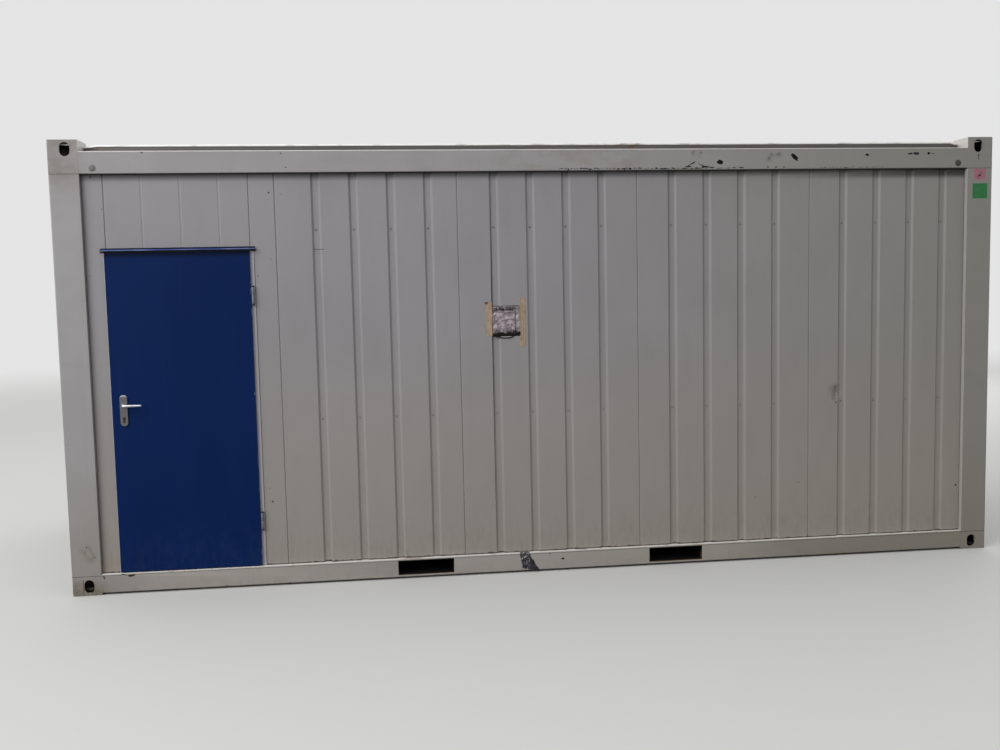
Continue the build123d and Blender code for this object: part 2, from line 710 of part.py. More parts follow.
def faceplate_block():
    """The lock faceplate, let into the edge of the leaf."""
    edge = LEAF_LEFT + LEAF_LAP
    middle = (LEAF_FRONT + LAP_THICKNESS + LEAF_BACK) / 2
    top = LEVER_LEVEL + FACEPLATE_ABOVE_LEVER
    half = FACEPLATE_WIDTH / 2
    return block(edge, edge + FACEPLATE_THICKNESS, middle - half, middle + half, top - FACEPLATE_LENGTH, top)


def door_leaf():
    """The leaf with a thin lap that covers the frame on three sides."""
    lap_back = LEAF_FRONT + LAP_THICKNESS
    leaf = block(LEAF_LEFT, LEAF_RIGHT, LEAF_FRONT, lap_back, LEAF_BOTTOM, LEAF_TOP)
    leaf += block(LEAF_LEFT + LEAF_LAP, LEAF_RIGHT - LEAF_LAP, LEAF_FRONT, LEAF_BACK,
                  LEAF_BOTTOM, LEAF_TOP - LEAF_LAP)
    leaf -= across(SPINDLE_HOLE_RADIUS, LEAF_FRONT, LEAF_BACK)
    leaf -= lock_solid(CYLINDER_CLEARANCE, LEAF_FRONT, LEAF_BACK)
    leaf -= faceplate_block()
    return leaf


def plate_solid(front, back):
    """A rounded handle plate between two planes, with its two holes."""
    middle = LEVER_LEVEL + PLATE_ABOVE_LEVER - PLATE_HEIGHT / 2
    outline = Plane.XZ * RectangleRounded(PLATE_WIDTH, PLATE_HEIGHT, PLATE_ROUND)
    plate = Pos(LEVER_X, front, middle) * extrude(outline, front - back)
    plate -= across(LEVER_RADIUS + NECK_CLEARANCE, front, back)
    return plate - lock_solid(CYLINDER_CLEARANCE, front, back)


def handle_plates():
    """The long plates on both faces of the leaf."""
    outside = plate_solid(LEAF_FRONT - PLATE_THICKNESS, LEAF_FRONT)
    return Compound(children=[outside, plate_solid(LEAF_BACK, LEAF_BACK + PLATE_THICKNESS)])


def lock_cylinder():
    """The profile cylinder through the leaf and both plates."""
    proud = PLATE_THICKNESS + CYLINDER_PROUD
    return lock_solid(0, LEAF_FRONT - proud, LEAF_BACK + proud)


def lock_faceplate():
    """The faceplate in the leaf's edge."""
    return faceplate_block()


def lever(face, outwards):
    """A round lever whose neck starts just off a face of the leaf."""
    neck_start = face + outwards * LEVER_FACE_GAP
    grip_y = face + outwards * LEVER_REACH
    bar = across(LEVER_RADIUS, min(neck_start, grip_y), max(neck_start, grip_y))
    grip = Rot(0, 90, 0) * Cylinder(LEVER_RADIUS, LEVER_LENGTH)
    grip = Pos(LEVER_X + LEVER_LENGTH / 2, grip_y, LEVER_LEVEL) * grip
    elbow = Pos(LEVER_X, grip_y, LEVER_LEVEL) * Sphere(LEVER_RADIUS)
    return bar + elbow + grip


def outside_lever():
    """The lever on the outside."""
    return lever(LEAF_FRONT, -1)


def inside_lever():
    """The lever on the inside."""
    return lever(LEAF_BACK, 1)


def lever_spindle():
    """The square spindle between the two levers."""
    half = SPINDLE_SIZE / 2
    return block(LEVER_X - half, LEVER_X + half, LEAF_FRONT - LEVER_FACE_GAP, LEAF_BACK + LEVER_FACE_GAP,
                 LEVER_LEVEL - half, LEVER_LEVEL + half)


# Hinges

def upright_bar(radius, bottom, top):
    """A round bar on the hinge axis between two levels."""
    return Pos(HINGE_X, HINGE_Y, (bottom + top) / 2) * Cylinder(radius, top - bottom)


def frame_hinge(level):
    """A lower knuckle with its pin, welded to the hinge jamb."""
    top = level + KNUCKLE_LENGTH
    knuckle = upright_bar(KNUCKLE_RADIUS, level, top)
    knuckle += block(HINGE_X - HINGE_FOOT / 2, HINGE_X + HINGE_FOOT / 2, HINGE_Y, FLANGE_FACE, level, top)
    return knuckle + upright_bar(PIN_RADIUS, top, top + KNUCKLE_SPLIT + KNUCKLE_LENGTH - 2 * KNUCKLE_CAP)


def leaf_hinge(level):
    """An upper knuckle with its lug, welded to the edge of the leaf."""
    bottom = level + KNUCKLE_LENGTH + KNUCKLE_SPLIT
    top = bottom + KNUCKLE_LENGTH
    knuckle = upright_bar(KNUCKLE_RADIUS, bottom, top)
    knuckle += block(LEAF_RIGHT, HINGE_X, HINGE_Y - HINGE_LUG / 2, HINGE_Y + HINGE_LUG / 2, bottom, top)
    return knuckle - upright_bar(PIN_RADIUS + PIN_CLEARANCE, bottom, top - KNUCKLE_CAP)


def frame_hinges():
    """The frame halves of both hinges."""
    return Compound(children=[frame_hinge(LOWER_HINGE_LEVEL), frame_hinge(UPPER_HINGE_LEVEL)])


def leaf_hinges():
    """The leaf halves of both hinges."""
    return Compound(children=[leaf_hinge(LOWER_HINGE_LEVEL), leaf_hinge(UPPER_HINGE_LEVEL)])


PIECES = [
    base_castings, top_castings, roof_corner_blocks, corner_posts,
    floor_rail_front, floor_rail_back, floor_end_rails, roof_side_rails, roof_end_rails, rail_plugs,
    fork_pockets, floor_joists, underfloor_sheet, floor_board, floor_covering,
    wall_strip_lock_side, wall_strip_hinge_side, wall_over_door,
    front_panel_a, front_panel_b, front_panel_c, front_panel_d, foil_patch,
    back_wall, end_walls,
    front_lining, lining_over_door, back_lining, end_linings,
    roof_panel, roof_end_panels, ceiling_board,
    door_jambs, door_head, threshold, drip_rail,
    door_leaf, handle_plates, lock_cylinder, lock_faceplate,
    outside_lever, inside_lever, lever_spindle, frame_hinges, leaf_hinges,
]

os.makedirs("parts", exist_ok=True)
for make_piece in PIECES:
    export_step(make_piece(), f"parts/{make_piece.__name__}.step")
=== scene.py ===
"""Looks of a portable site cabin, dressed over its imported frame.

Everything is in metres in the frame of the cabin: +X runs to the right along the front, -Y points
out of the front and +Z up, with the origin on the ground between the four base castings. Sections,
profiles and flakes are in millimetres, as is each size whose name ends in mm.
"""
from __future__ import annotations

import logging
import math
import random
import re
from dataclasses import dataclass, field
from enum import Enum
from typing import Any, Sequence

import bmesh
import bpy
from mathutils import Matrix, Vector, noise

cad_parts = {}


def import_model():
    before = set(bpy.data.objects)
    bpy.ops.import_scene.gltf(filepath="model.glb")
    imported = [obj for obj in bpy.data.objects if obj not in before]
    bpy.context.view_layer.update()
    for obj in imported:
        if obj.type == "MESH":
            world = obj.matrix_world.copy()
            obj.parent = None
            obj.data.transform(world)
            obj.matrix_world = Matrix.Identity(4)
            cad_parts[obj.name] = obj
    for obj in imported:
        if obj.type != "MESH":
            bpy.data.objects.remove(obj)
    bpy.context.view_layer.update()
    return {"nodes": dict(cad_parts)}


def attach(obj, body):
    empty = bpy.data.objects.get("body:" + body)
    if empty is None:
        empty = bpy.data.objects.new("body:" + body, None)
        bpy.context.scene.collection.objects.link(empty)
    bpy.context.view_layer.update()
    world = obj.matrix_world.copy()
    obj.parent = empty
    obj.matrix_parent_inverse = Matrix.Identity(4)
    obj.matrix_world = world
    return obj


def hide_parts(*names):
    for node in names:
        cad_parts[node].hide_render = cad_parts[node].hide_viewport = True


LOG = logging.getLogger("site_cabin")
MM = 0.001

# Outer faces of the frame and of the front sheet, which several parts share.
END = 3.029
SIDE = 1.219
SHEET_FACE = -1.191

UP = Vector((0, 0, 1))
OUTWARD = Vector((0, -1, 0))

Place = tuple[float, float, float]
Spot = tuple[float, float]
Table = tuple[tuple[float, ...], ...]
Socket = bpy.types.NodeSocket
Coat = tuple[str, Any]


class Body(Enum):
    """The rigid bodies that pieces ride on."""

    CABIN = "cabin"
    DOOR = "door"
    HANDLE = "handle"


class Slot(Enum):
    """The material slots of the record that new pieces belong to."""

    FRAME = "frame_paint"
    WALL = "wall_paint"
    DOOR = "door_paint"
    ZINC = "zinc_sheet"
    LINING = "lining_board"
    SILL = "sill_metal"
    HANDLE = "handle_metal"
    LOCK = "lock_brass"
    HINGE = "hinge_steel"
    FOIL = "foil"
    PLUG = "plug_plastic"


def linear(colour: str) -> tuple[float, float, float, float]:
    """Turns an sRGB hex colour to linear.

    Args:
        colour: The colour as #RRGGBB.

    Returns:
        Red, green, blue and an alpha of 1.
    """
    parts = [int(colour[start:start + 2], 16) / 255 for start in (1, 3, 5)]
    red, green, blue = (c / 12.92 if c <= 0.04045 else ((c + 0.055) / 1.055) ** 2.4 for c in parts)
    return red, green, blue, 1.0


def add_node(tree: bpy.types.NodeTree, kind: str, inputs: dict[str | int, Any] | None = None,
             **settings: Any) -> bpy.types.Node:
    """Adds a node with its settings, values and links.

    Args:
        tree: The tree that gets the node.
        kind: The node's type name.
        inputs: Values or sockets for its inputs, by name or number.
        **settings: Values of the node's own properties.

    Returns:
        The new node.
    """
    node = tree.nodes.new(kind)
    for name, value in settings.items():
        setattr(node, name, value)
    for key, value in (inputs or {}).items():
        if isinstance(value, bpy.types.NodeSocket):
            tree.links.new(value, node.inputs[key])
        else:
            node.inputs[key].default_value = value
    return node


def add_object(name: str, data: Any) -> bpy.types.Object:
    """Puts a mesh, a lamp or a camera into the scene.

    Args:
        name: Name of the object.
        data: What it shows.

    Returns:
        The new object.
    """
    made = bpy.data.objects.new(name, data)
    bpy.context.scene.collection.objects.link(made)
    return made


def ellipse(across: float, tall: float, steps: int) -> list[Spot]:
    """Points round an ellipse.

    Args:
        across: Half its width.
        tall: Half its height.
        steps: Number of points.

    Returns:
        The points, from the right and up.
    """
    turns = [2 * math.pi * step / steps for step in range(steps)]
    return [(across * math.cos(turn), tall * math.sin(turn)) for turn in turns]


class Surface:
    """The node tree of one finish, with patterns that are given in real sizes."""

    def __init__(self, name: str) -> None:
        """Starts an empty material with the cabin's own coordinates.

        Args:
            name: Name of the material.
        """
        self.material = bpy.data.materials.new(name)
        self.material.use_nodes = True
        self.tree = self.material.node_tree
        self.tree.nodes.clear()
        self.place = add_node(self.tree, "ShaderNodeTexCoord").outputs["Object"]
        axes = add_node(self.tree, "ShaderNodeSeparateXYZ", {"Vector": self.place})
        self.along = {axis: axes.outputs[axis] for axis in "XYZ"}

    def cloud(self, grain_mm: float, low: float, high: float, stretch: Place = (1, 1, 1),
              detail: float = 3.0) -> Socket:
        """A mask of soft blotches.

        Args:
            grain_mm: Size of a blotch in millimetres.
            low: Noise value where the mask starts.
            high: Noise value where it is full.
            stretch: How many times longer a blotch is along each axis.
            detail: Octaves of finer noise.

        Returns:
            The mask, 0 to 1.
        """
        scale = tuple(1 / (grain_mm * MM * each) for each in stretch)
        scaled = add_node(self.tree, "ShaderNodeMapping", {"Vector": self.place, "Scale": scale})
        pattern = add_node(self.tree, "ShaderNodeTexNoise",
                           {"Vector": scaled.outputs["Vector"], "Scale": 1.0, "Detail": detail})
        return self.between(pattern.outputs[0], low, high)

    def grains(self, size_mm: float) -> Sequence[Socket]:
        """Random shades, each even all over one grain.

        Args:
            size_mm: Size of a grain in millimetres.

        Returns:
            Three values from 0 to 1 that don't follow one another.
        """
        cells = add_node(self.tree, "ShaderNodeTexVoronoi",
                         {"Vector": self.place, "Scale": 1 / (size_mm * MM)})
        return add_node(self.tree, "ShaderNodeSeparateColor", {"Color": cells.outputs["Color"]}).outputs

    def between(self, value: Socket, start: float, end: float) -> Socket:
        """Eases a value from 0 at start to 1 at end.

        Args:
            value: The value.
            start: Where the result is 0.
            end: Where it is 1, which may be below start.

        Returns:
            The eased value.
        """
        eased = add_node(self.tree, "ShaderNodeMapRange",
                         {"Value": value, "From Min": start, "From Max": end},
                         interpolation_type="SMOOTHSTEP")
        return eased.outputs["Result"]

    def vary(self, mask: Socket, bare: float, covered: float) -> Socket:
        """A value that goes from bare to covered as the mask fills."""
        return add_node(self.tree, "ShaderNodeMapRange",
                        {"Value": mask, "To Min": bare, "To Max": covered}).outputs["Result"]

    def rise(self, axis: str, start: float, end: float) -> Socket:
        """Eases from 0 to 1 between two places along an axis of the cabin."""
        return self.between(self.along[axis], start, end)

    def window(self, value: Socket, start: float, end: float, edge_mm: float) -> Socket:
        """Where a value lies between two others, eased inside both ends."""
        return self.overlap(self.between(value, start, start + edge_mm * MM),
                            self.between(value, end, end - edge_mm * MM))

    def gap(self, axis: str, place: float) -> Socket:
        """How far a point lies from a place along an axis, to either side."""
        offset = add_node(self.tree, "ShaderNodeMath", {0: self.along[axis], 1: place}, operation="SUBTRACT")
        return add_node(self.tree, "ShaderNodeMath", {0: offset.outputs[0]}, operation="ABSOLUTE").outputs[0]

    def combined(self, operation: str, masks: Sequence[Any]) -> Socket:
        """Takes masks together, one after the other.

        Args:
            operation: What is done with each two.
            masks: The masks, or numbers after the first.

        Returns:
            One mask.
        """
        held = masks[0]
        for mask in masks[1:]:
            held = add_node(self.tree, "ShaderNodeMath", {0: held, 1: mask}, operation=operation).outputs[0]
        return held

    def overlap(self, *masks: Socket | float) -> Socket:
        """Where all masks hold, as their product."""
        return self.combined("MULTIPLY", masks)

    def either(self, *masks: Socket) -> Socket:
        """Where any of the masks holds."""
        return self.combined("MAXIMUM", masks)

    def near(self, places: Sequence[Place], radius_mm: float) -> Socket:
        """A mask round some places.

        Args:
            places: Where the mask is full.
            radius_mm: How far from them it is gone.

        Returns:
            The mask.
        """
        masks = []
        for place in places:
            reach = add_node(self.tree, "ShaderNodeVectorMath", {0: self.place, 1: place}, operation="DISTANCE")
            masks.append(self.between(reach.outputs["Value"], radius_mm * MM, 0.0))
        return self.either(*masks)

    def patches(self, face: float, spots: Sequence[Spot], radius_mm: float) -> Socket:
        """A mask round some spots of a face that looks towards -Y."""
        return self.near([(x, face, z) for x, z in spots], radius_mm)

    def lines(self, axis: str, places: Sequence[float], half_width_mm: float) -> Socket:
        """Thin lines across an axis of the cabin.

        Args:
            axis: The axis.
            places: Where the lines cross it.
            half_width_mm: How far from its middle a line is gone.

        Returns:
            The mask of the lines.
        """
        full = half_width_mm * MM * 0.3
        return self.either(*[self.between(self.gap(axis, place), half_width_mm * MM, full) for place in places])

    def tide(self, level: float, reach_mm: float, grain_mm: float) -> Socket:
        """Dirt below a ragged line.

        Args:
            level: Height that the dirt always covers.
            reach_mm: How far the highest stains rise above it.
            grain_mm: Width of a stain.

        Returns:
            The mask of the dirt.
        """
        crest = self.cloud(grain_mm, 0.42, 0.8, (1, 1, 2), 4.0)
        top = add_node(self.tree, "ShaderNodeMath", {0: crest, 1: reach_mm * MM, 2: level},
                       operation="MULTIPLY_ADD")
        depth = add_node(self.tree, "ShaderNodeMath", {0: top.outputs[0], 1: self.along["Z"]},
                         operation="SUBTRACT")
        return self.between(depth.outputs[0], -2 * MM, 4 * MM)

    def coats(self, ground: str, *layers: Coat) -> Socket:
        """Lays colours over a ground colour.

        Args:
            ground: Hex colour of the ground.
            *layers: A hex colour and the mask that it shows through, from the lowest up.

        Returns:
            The colour of the stack.
        """
        colour: Any = linear(ground)
        for paint, mask in layers:
            colour = add_node(self.tree, "ShaderNodeMix", {0: mask, 6: colour, 7: linear(paint)},
                              data_type="RGBA").outputs[2]
        return colour

    def relief(self, *heights: tuple[Socket, float]) -> Socket:
        """Stacks height patterns, each with its real height in millimetres.

        Args:
            *heights: A pattern and its height.

        Returns:
            The bent normal.
        """
        inputs: dict[str | int, Any] = {}
        for pattern, height_mm in heights:
            inputs |= {"Height": pattern, "Distance": abs(height_mm) * MM, "Strength": 1.0}
            bump = add_node(self.tree, "ShaderNodeBump", inputs, invert=height_mm < 0)
            inputs = {"Normal": bump.outputs["Normal"]}
        return inputs["Normal"]

    def shell(self, colour: Any, roughness: Any, **others: Any) -> bpy.types.Material:
        """Ends the tree in one shader.

        Args:
            colour: Base colour.
            roughness: Roughness.
            **others: More inputs of the shader, by name with underscores for spaces.

        Returns:
            The finished material.
        """
        inputs = {"Base Color": colour, "Roughness": roughness}
        inputs |= {name.replace("_", " "): value for name, value in others.items()}
        shader = add_node(self.tree, "ShaderNodeBsdfPrincipled", inputs)
        add_node(self.tree, "ShaderNodeOutputMaterial", {"Surface": shader.outputs["BSDF"]})
        return self.material


class Finish:
    """A real material with the way its surface was made."""

    def surface(self) -> Surface:
        """An empty surface, named after the finish."""
        words = re.findall("[A-Z][a-z]+", type(self).__name__)
        return Surface("_".join(words).lower())

    def make(self) -> bpy.types.Material:
        """Builds the material. Each finish does it in its own way."""
        raise NotImplementedError


@dataclass(frozen=True)
class MottledFinish(Finish):
    """A ground colour under soft blotches of a second one, with one fine, even texture."""

    ground: str = "#808080"
    blotch: str = "#707070"
    blotch_mm: float = 10
    blotch_low: float = 0.5
    blotch_high: float = 0.8
    stretch: Place = (1, 1, 1)
    detail: float = 3.0
    share: float = 1.0
    grit_mm: float = 2
    grit_height_mm: float = 0.1
    roughness: float = 0.7
    metallic: float = 0.0
    specular: float = 0.5

    def layers(self, skin: Surface) -> list[Coat]:
        """The coats over the ground, from the lowest up.

        Args:
            skin: The surface that gets them.

        Returns:
            The colour and the mask of each coat.
        """
        blotches = skin.cloud(self.blotch_mm, self.blotch_low, self.blotch_high, self.stretch, self.detail)
        return [(self.blotch, skin.overlap(blotches, self.share))]

    def make(self) -> bpy.types.Material:
        """Builds the material.

        Returns:
            The finished material.
        """
        skin = self.surface()
        grit = skin.relief((skin.cloud(self.grit_mm, 0.3, 0.7), self.grit_height_mm))
        return skin.shell(skin.coats(self.ground, *self.layers(skin)), self.roughness, Normal=grit,
                          Metallic=self.metallic, Specular_IOR_Level=self.specular)


@dataclass(frozen=True)
class CoilCoatedSheet(Finish):
    """Steel sheet, coil coated with polyester and then pressed to grooved wall panels.

    The eye gets an even, low-sheen grey, with sheets that waver a little, rain runs from the roof
    rail, a warm film of road dust lower down, splashed dirt near the foot and a dark line of dirt
    and painted shade where the sheet stands on the floor rail. Painted shade darkens the sheet
    towards the right, lies below the roof rail and the drip rail, in a crease beside the door and
    round a small dent, and painted highlights lighten the frame strips beside the door leaf.
    """

    paint: str = "#8F8D90"
    sun_faded: str = "#939194"
    rain_grime: str = "#77736E"
    splash: str = "#72695E"
    mud: str = "#93897B"
    road_dust: str = "#968F86"
    # Dark dirt; along the foot of the sheet it also stands for painted shade.
    foot_dirt: str = "#33261D"
    # Colour of painted shade: under the roof rail and the drip rail, in the crease and round the dent.
    soot: str = "#121112"
    # Painted shade: the sheet grows darker and warmer towards the right.
    bloom: str = "#85847A"
    # Painted highlight on the frame strips beside the door leaf.
    rubbed: str = "#B2AFB6"
    foot: float = 0.130
    head: float = 2.595
    drip_rail_ends: Spot = (-2.765, -1.826)
    drip_rail_levels: Spot = (2.117, 2.134)
    door_joint: float = -1.8415
    muddy_spots: tuple[Spot, ...] = ((-2.80, 0.13),)
    dent_spots: tuple[Spot, ...] = ((1.949, 1.120),)
    # Spots of painted shade round the dent.
    bruise_face: float = -1.188
    dark_bruises: tuple[Spot, ...] = ((1.950, 1.150), (1.947, 1.138))
    faint_bruises: tuple[Spot, ...] = ((1.944, 1.12), (1.941, 1.10), (1.940, 1.08))
    crease: float = 2.1243
    faint_creases: tuple[float, ...] = (2.110, 2.099)

    def weather(self, skin: Surface, film: Socket) -> list[Coat]:
        """Coats of fading, rain, painted shade to the right, dust, splashes and painted shadow below the roof
        rail.

        Args:
            skin: The surface that gets them.
            film: Mask of the film that rain has left.

        Returns:
            The coats from the lowest up.
        """
        runs = skin.overlap(skin.cloud(16, 0.5, 0.78, (1, 1, 55), 2.0),
                            skin.rise("Z", self.head - 1.6, self.head), 0.05)
        splash = skin.overlap(skin.cloud(26, 0.4, 0.75, (1, 1, 3), 5.0),
                              skin.rise("Z", self.foot + 0.36, self.foot + 0.01), 0.2)
        mud = skin.overlap(skin.patches(SHEET_FACE, self.muddy_spots, 150),
                           skin.cloud(30, 0.05, 0.55, (1, 1, 2), 4.0), 0.75)
        # Painted shadow under the roof rail, deeper and longer towards the right.
        eaves_shadow = skin.either(skin.overlap(skin.rise("Z", self.head - 0.055, self.head - 0.010), 0.62),
                            skin.overlap(skin.rise("Z", self.head - 0.072, self.head - 0.030),
                                         skin.rise("X", 0.9, 2.9), 0.84))
        return [(self.sun_faded, skin.cloud(650, 0.35, 0.7)), (self.rain_grime, runs),
                # Painted shade, darker and warmer towards the right.
                (self.bloom, skin.overlap(skin.rise("X", -0.6, 3.2), 0.55)),
                (self.road_dust, skin.overlap(skin.rise("Z", 1.9, 0.1), 0.75)),
                (self.rain_grime, film), (self.splash, splash), (self.mud, mud), (self.soot, eaves_shadow)]

    def bruises(self, skin: Surface) -> Socket:
        """Painted shade round the small dent, in darker spots beside it.

        Args:
            skin: The surface that gets them.

        Returns:
            Their mask.
        """
        dark = skin.patches(self.bruise_face, self.dark_bruises, 22)
        faint = skin.overlap(skin.patches(self.bruise_face, self.faint_bruises, 32), 0.7)
        return skin.overlap(skin.either(dark, faint), skin.cloud(16, 0.2, 0.5), 0.7)

    def round_the_door(self, skin: Surface, front: Socket) -> list[Coat]:
        """Door frame coats: painted highlights by the leaf, a brown joint and painted shadow under the drip
        rail.

        Args:
            skin: The surface that gets them.
            front: Mask of the front wall.

        Returns:
            The coats from the lowest up.
        """
        rail_foot, rail_top = self.drip_rail_levels
        below = skin.rise("Z", rail_foot + 4 * MM, rail_foot)
        # Painted shadow under the drip rail.
        soot = skin.overlap(skin.window(skin.along["Z"], rail_foot, rail_top, 4),
                            skin.window(skin.along["X"], *self.drip_rail_ends, 5), front, 0.95)
        # Painted highlights on the frame strips beside the leaf.
        rubbed = skin.either(skin.overlap(skin.rise("X", -1.870, -1.865), skin.rise("X", -1.8425, -1.8445)),
                             skin.overlap(skin.rise("X", -2.7435, -2.7425), skin.rise("X", -2.733, -2.735)))
        joint = skin.overlap(skin.lines("X", (self.door_joint,), 2.6), below, front, 0.75)
        return [(self.rubbed, skin.overlap(rubbed, below, front, 0.8)), (self.foot_dirt, joint),
                (self.soot, soot)]

    def make(self) -> bpy.types.Material:
        """Builds the material.

        Returns:
            The finished material.
        """
        skin = self.surface()
        front = skin.rise("Y", -1.0, -1.1)
        film = skin.overlap(skin.cloud(110, 0.42, 0.8, (1, 1, 3)), 0.1)
        specks = skin.overlap(skin.cloud(5, 0.72, 0.78, detail=1.0), 0.2)
        # Dark line at the foot of the sheet: dirt with painted shade where it meets the floor rail.
        foot_line = skin.overlap(skin.tide(self.foot + 7 * MM, 7, 30), 0.9)
        # Painted shade in the crease beside the door, over its bump.
        crease = skin.overlap(skin.either(skin.lines("Z", (self.crease,), 2.8),
                                          skin.overlap(skin.lines("Z", self.faint_creases, 2.0), 0.3)),
                              skin.rise("X", -1.480, -1.472), skin.rise("X", -1.406, -1.418), front, 0.85)
        colour = skin.coats(self.paint, *self.weather(skin, film), (self.foot_dirt, specks),
                            # Next: the dark foot line of dirt and painted shade, then painted shade in the
                            # crease and round the dent.
                            (self.foot_dirt, foot_line), (self.soot, crease), (self.soot, self.bruises(skin)),
                            *self.round_the_door(skin, front))
        normal = skin.relief((skin.cloud(520, 0.2, 0.8, (1, 1, 1.6), 1.0), 1.6),
                             (skin.patches(SHEET_FACE, self.dent_spots, 65), -8), (crease, -1.5),
                             (skin.cloud(2.5, 0.3, 0.7, detail=0.0), 0.012))
        return skin.shell(colour, skin.vary(film, 0.42, 0.62), Normal=normal, Specular_IOR_Level=0.3)


@dataclass(frozen=True)
class SprayedFramePaint(Finish):
    """Structural steel, welded and then sprayed with grey alkyd paint.

    The eye gets a slightly warm grey with soft spray mottle, brown grime along edges and round the
    lifting holes, rust that bleeds from chips, and fine dark lines at the welded joints. Painted shade
    darkens it towards the right and in the hollows of the castings, and painted highlights and painted
    light brighten the floor rail and the faces that catch the light.
    """

    paint: str = "#979596"
    mottle: str = "#9B999A"
    grime: str = "#7B736B"
    dust: str = "#857D6E"
    # Painted shade: the frame grows darker and warmer towards the right.
    bloom: str = "#7F7D73"
    olive: str = "#6C6553"
    rust: str = "#6B4630"
    joint: str = "#2E2925"
    # Painted highlight.
    washed: str = "#D2CFCB"
    # Painted light on the floor rail.
    scoured: str = "#B7B0A9"
    # Near black inside the castings: old dirt with painted shade.
    cavity: str = "#0D0B0A"
    joints: tuple[float, ...] = (0.121, 2.595)
    half_height: float = 1.4
    hole_from_end: float = 0.1025
    hole_from_side: float = 0.0895
    hole_levels: Spot = (0.057, 2.743)
    casting_rooms: tuple[tuple[str, float, float], ...] = (
        ("X", 2.8600, 3.0195), ("Y", 1.0580, 1.2095), ("Z", 1.2945, 1.3835))
    stained: tuple[Spot, ...] = ((-2.930, 0.285), (-2.915, 0.245))
    smudged: tuple[Spot, ...] = ((1.489, 2.689), (1.535, 2.692), (0.966, 2.705), (1.01, 2.700), (1.47, 2.665))
    aged: tuple[Spot, ...] = ((0.17, 2.70), (-0.12, 2.705), (0.48, 2.70))
    shaded: tuple[Spot, ...] = ((-2.95, 2.76), (-2.95, 2.63))
    muddy: tuple[Spot, ...] = ((-3.01, 0.02), (-2.90, 0.01))

    def inside_castings(self, skin: Surface) -> Socket:
        """The hollow of the corner castings, never painted, near black with old dirt and painted shade.

        Args:
            skin: The surface that gets it.

        Returns:
            The mask of the hollow.
        """
        middles = {"X": 0.0, "Y": 0.0, "Z": self.half_height}
        return skin.overlap(*[skin.window(skin.gap(axis, middles[axis]), inner, outer, 1)
                              for axis, inner, outer in self.casting_rooms])

    def hole_places(self) -> list[Place]:
        """The middles of the lifting holes.

        Returns:
            Their places in the front, back and end faces.
        """
        places = []
        for level in self.hole_levels:
            for x in (-1, 1):
                for y in (-1, 1):
                    places.append((x * (END - self.hole_from_end), y * SIDE, level))
                    places.append((x * END, y * (SIDE - self.hole_from_side), level))
        return places

    def weather(self, skin: Surface, spread: Socket) -> list[Coat]:
        """Coats of mottle, painted shade to the right, dust, painted light on the floor rail and grime all
        over.

        Args:
            skin: The surface that gets them.
            spread: Mask of the grime that lies everywhere.

        Returns:
            The coats from the lowest up.
        """
        # Painted light: the left and middle of the floor rail are lighter.
        scoured = skin.overlap(skin.rise("Z", 0.140, 0.120), skin.rise("X", 1.8, 1.0),
                               skin.rise("X", -2.9, -2.2), 0.36)
        drips = skin.overlap(skin.cloud(12, 0.52, 0.8, (1, 1, 30), 2.0), 0.1)
        foot = skin.overlap(skin.rise("Z", 0.10, 0.0), skin.cloud(40, 0.35, 0.75, detail=5.0), 0.3)
        return [(self.mottle, skin.cloud(240, 0.35, 0.7)),
                # Painted shade, darker and warmer towards the right.
                (self.bloom, skin.overlap(skin.rise("X", -0.6, 3.0), 0.7)),
                (self.dust, skin.overlap(skin.rise("Z", 1.0, 0.05), 0.45)),
                (self.scoured, scoured), (self.grime, spread), (self.grime, drips), (self.grime, foot)]

    def corner_grime(self, skin: Surface) -> list[Coat]:
        """Coats of old grime along the roof rail, a darker patch at the top left and mud at the bottom left.

        Args:
            skin: The surface that gets them.

        Returns:
            The coats from the lowest up.
        """
        aged = skin.overlap(skin.patches(-SIDE, self.aged, 260), skin.cloud(45, 0.4, 0.75, (2, 2, 1), 4.0), 0.4)
        shaded = skin.overlap(skin.patches(-SIDE, self.shaded, 190), skin.cloud(70, 0.15, 0.6, detail=4.0), 0.7)
        muddy = skin.overlap(skin.patches(-SIDE, self.muddy, 125), skin.cloud(35, 0.1, 0.55, detail=5.0), 0.85)
        return [(self.grime, aged), (self.grime, shaded), (self.olive, muddy)]

    def rain_washed(self, skin: Surface) -> Socket:
        """Painted highlights: the floor rail's top, the casting cheeks and the right post's return.

        Args:
            skin: The surface that gets them.

        Returns:
            The mask of the edges.
        """
        ledge = skin.overlap(skin.lines("Z", (0.1302,), 2.4), skin.window(skin.along["X"], -2.852, 2.852, 2))
        cheeks = skin.overlap(skin.lines("X", (-2.8505, 2.8505), 2.2), skin.rise("Z", 2.729, 2.733))
        returns = skin.overlap(skin.lines("X", (2.8512,), 1.7), skin.rise("Z", 0.128, 0.136),
                               skin.rise("Z", 2.594, 2.588))
        return skin.either(ledge, cheeks, skin.overlap(returns, 0.4))

    def marks(self, skin: Surface) -> list[Coat]:
        """Coats of smudges, rusty lifting holes and the stain on the left post.

        Args:
            skin: The surface that gets them.

        Returns:
            The coats from the lowest up.
        """
        smudges = skin.overlap(skin.patches(-SIDE, self.smudged, 34),
                               skin.cloud(12, 0.4, 0.6, (1, 1, 1.5), 4.0), 0.5)
        holes = skin.overlap(skin.near(self.hole_places(), 62), skin.cloud(14, 0.42, 0.68, detail=5.0), 0.6)
        stain = skin.overlap(skin.patches(-SIDE, self.stained, 60), skin.cloud(22, 0.25, 0.65, (1, 1, 2)), 0.75)
        return [(self.joint, smudges), (self.rust, holes), (self.olive, stain)]

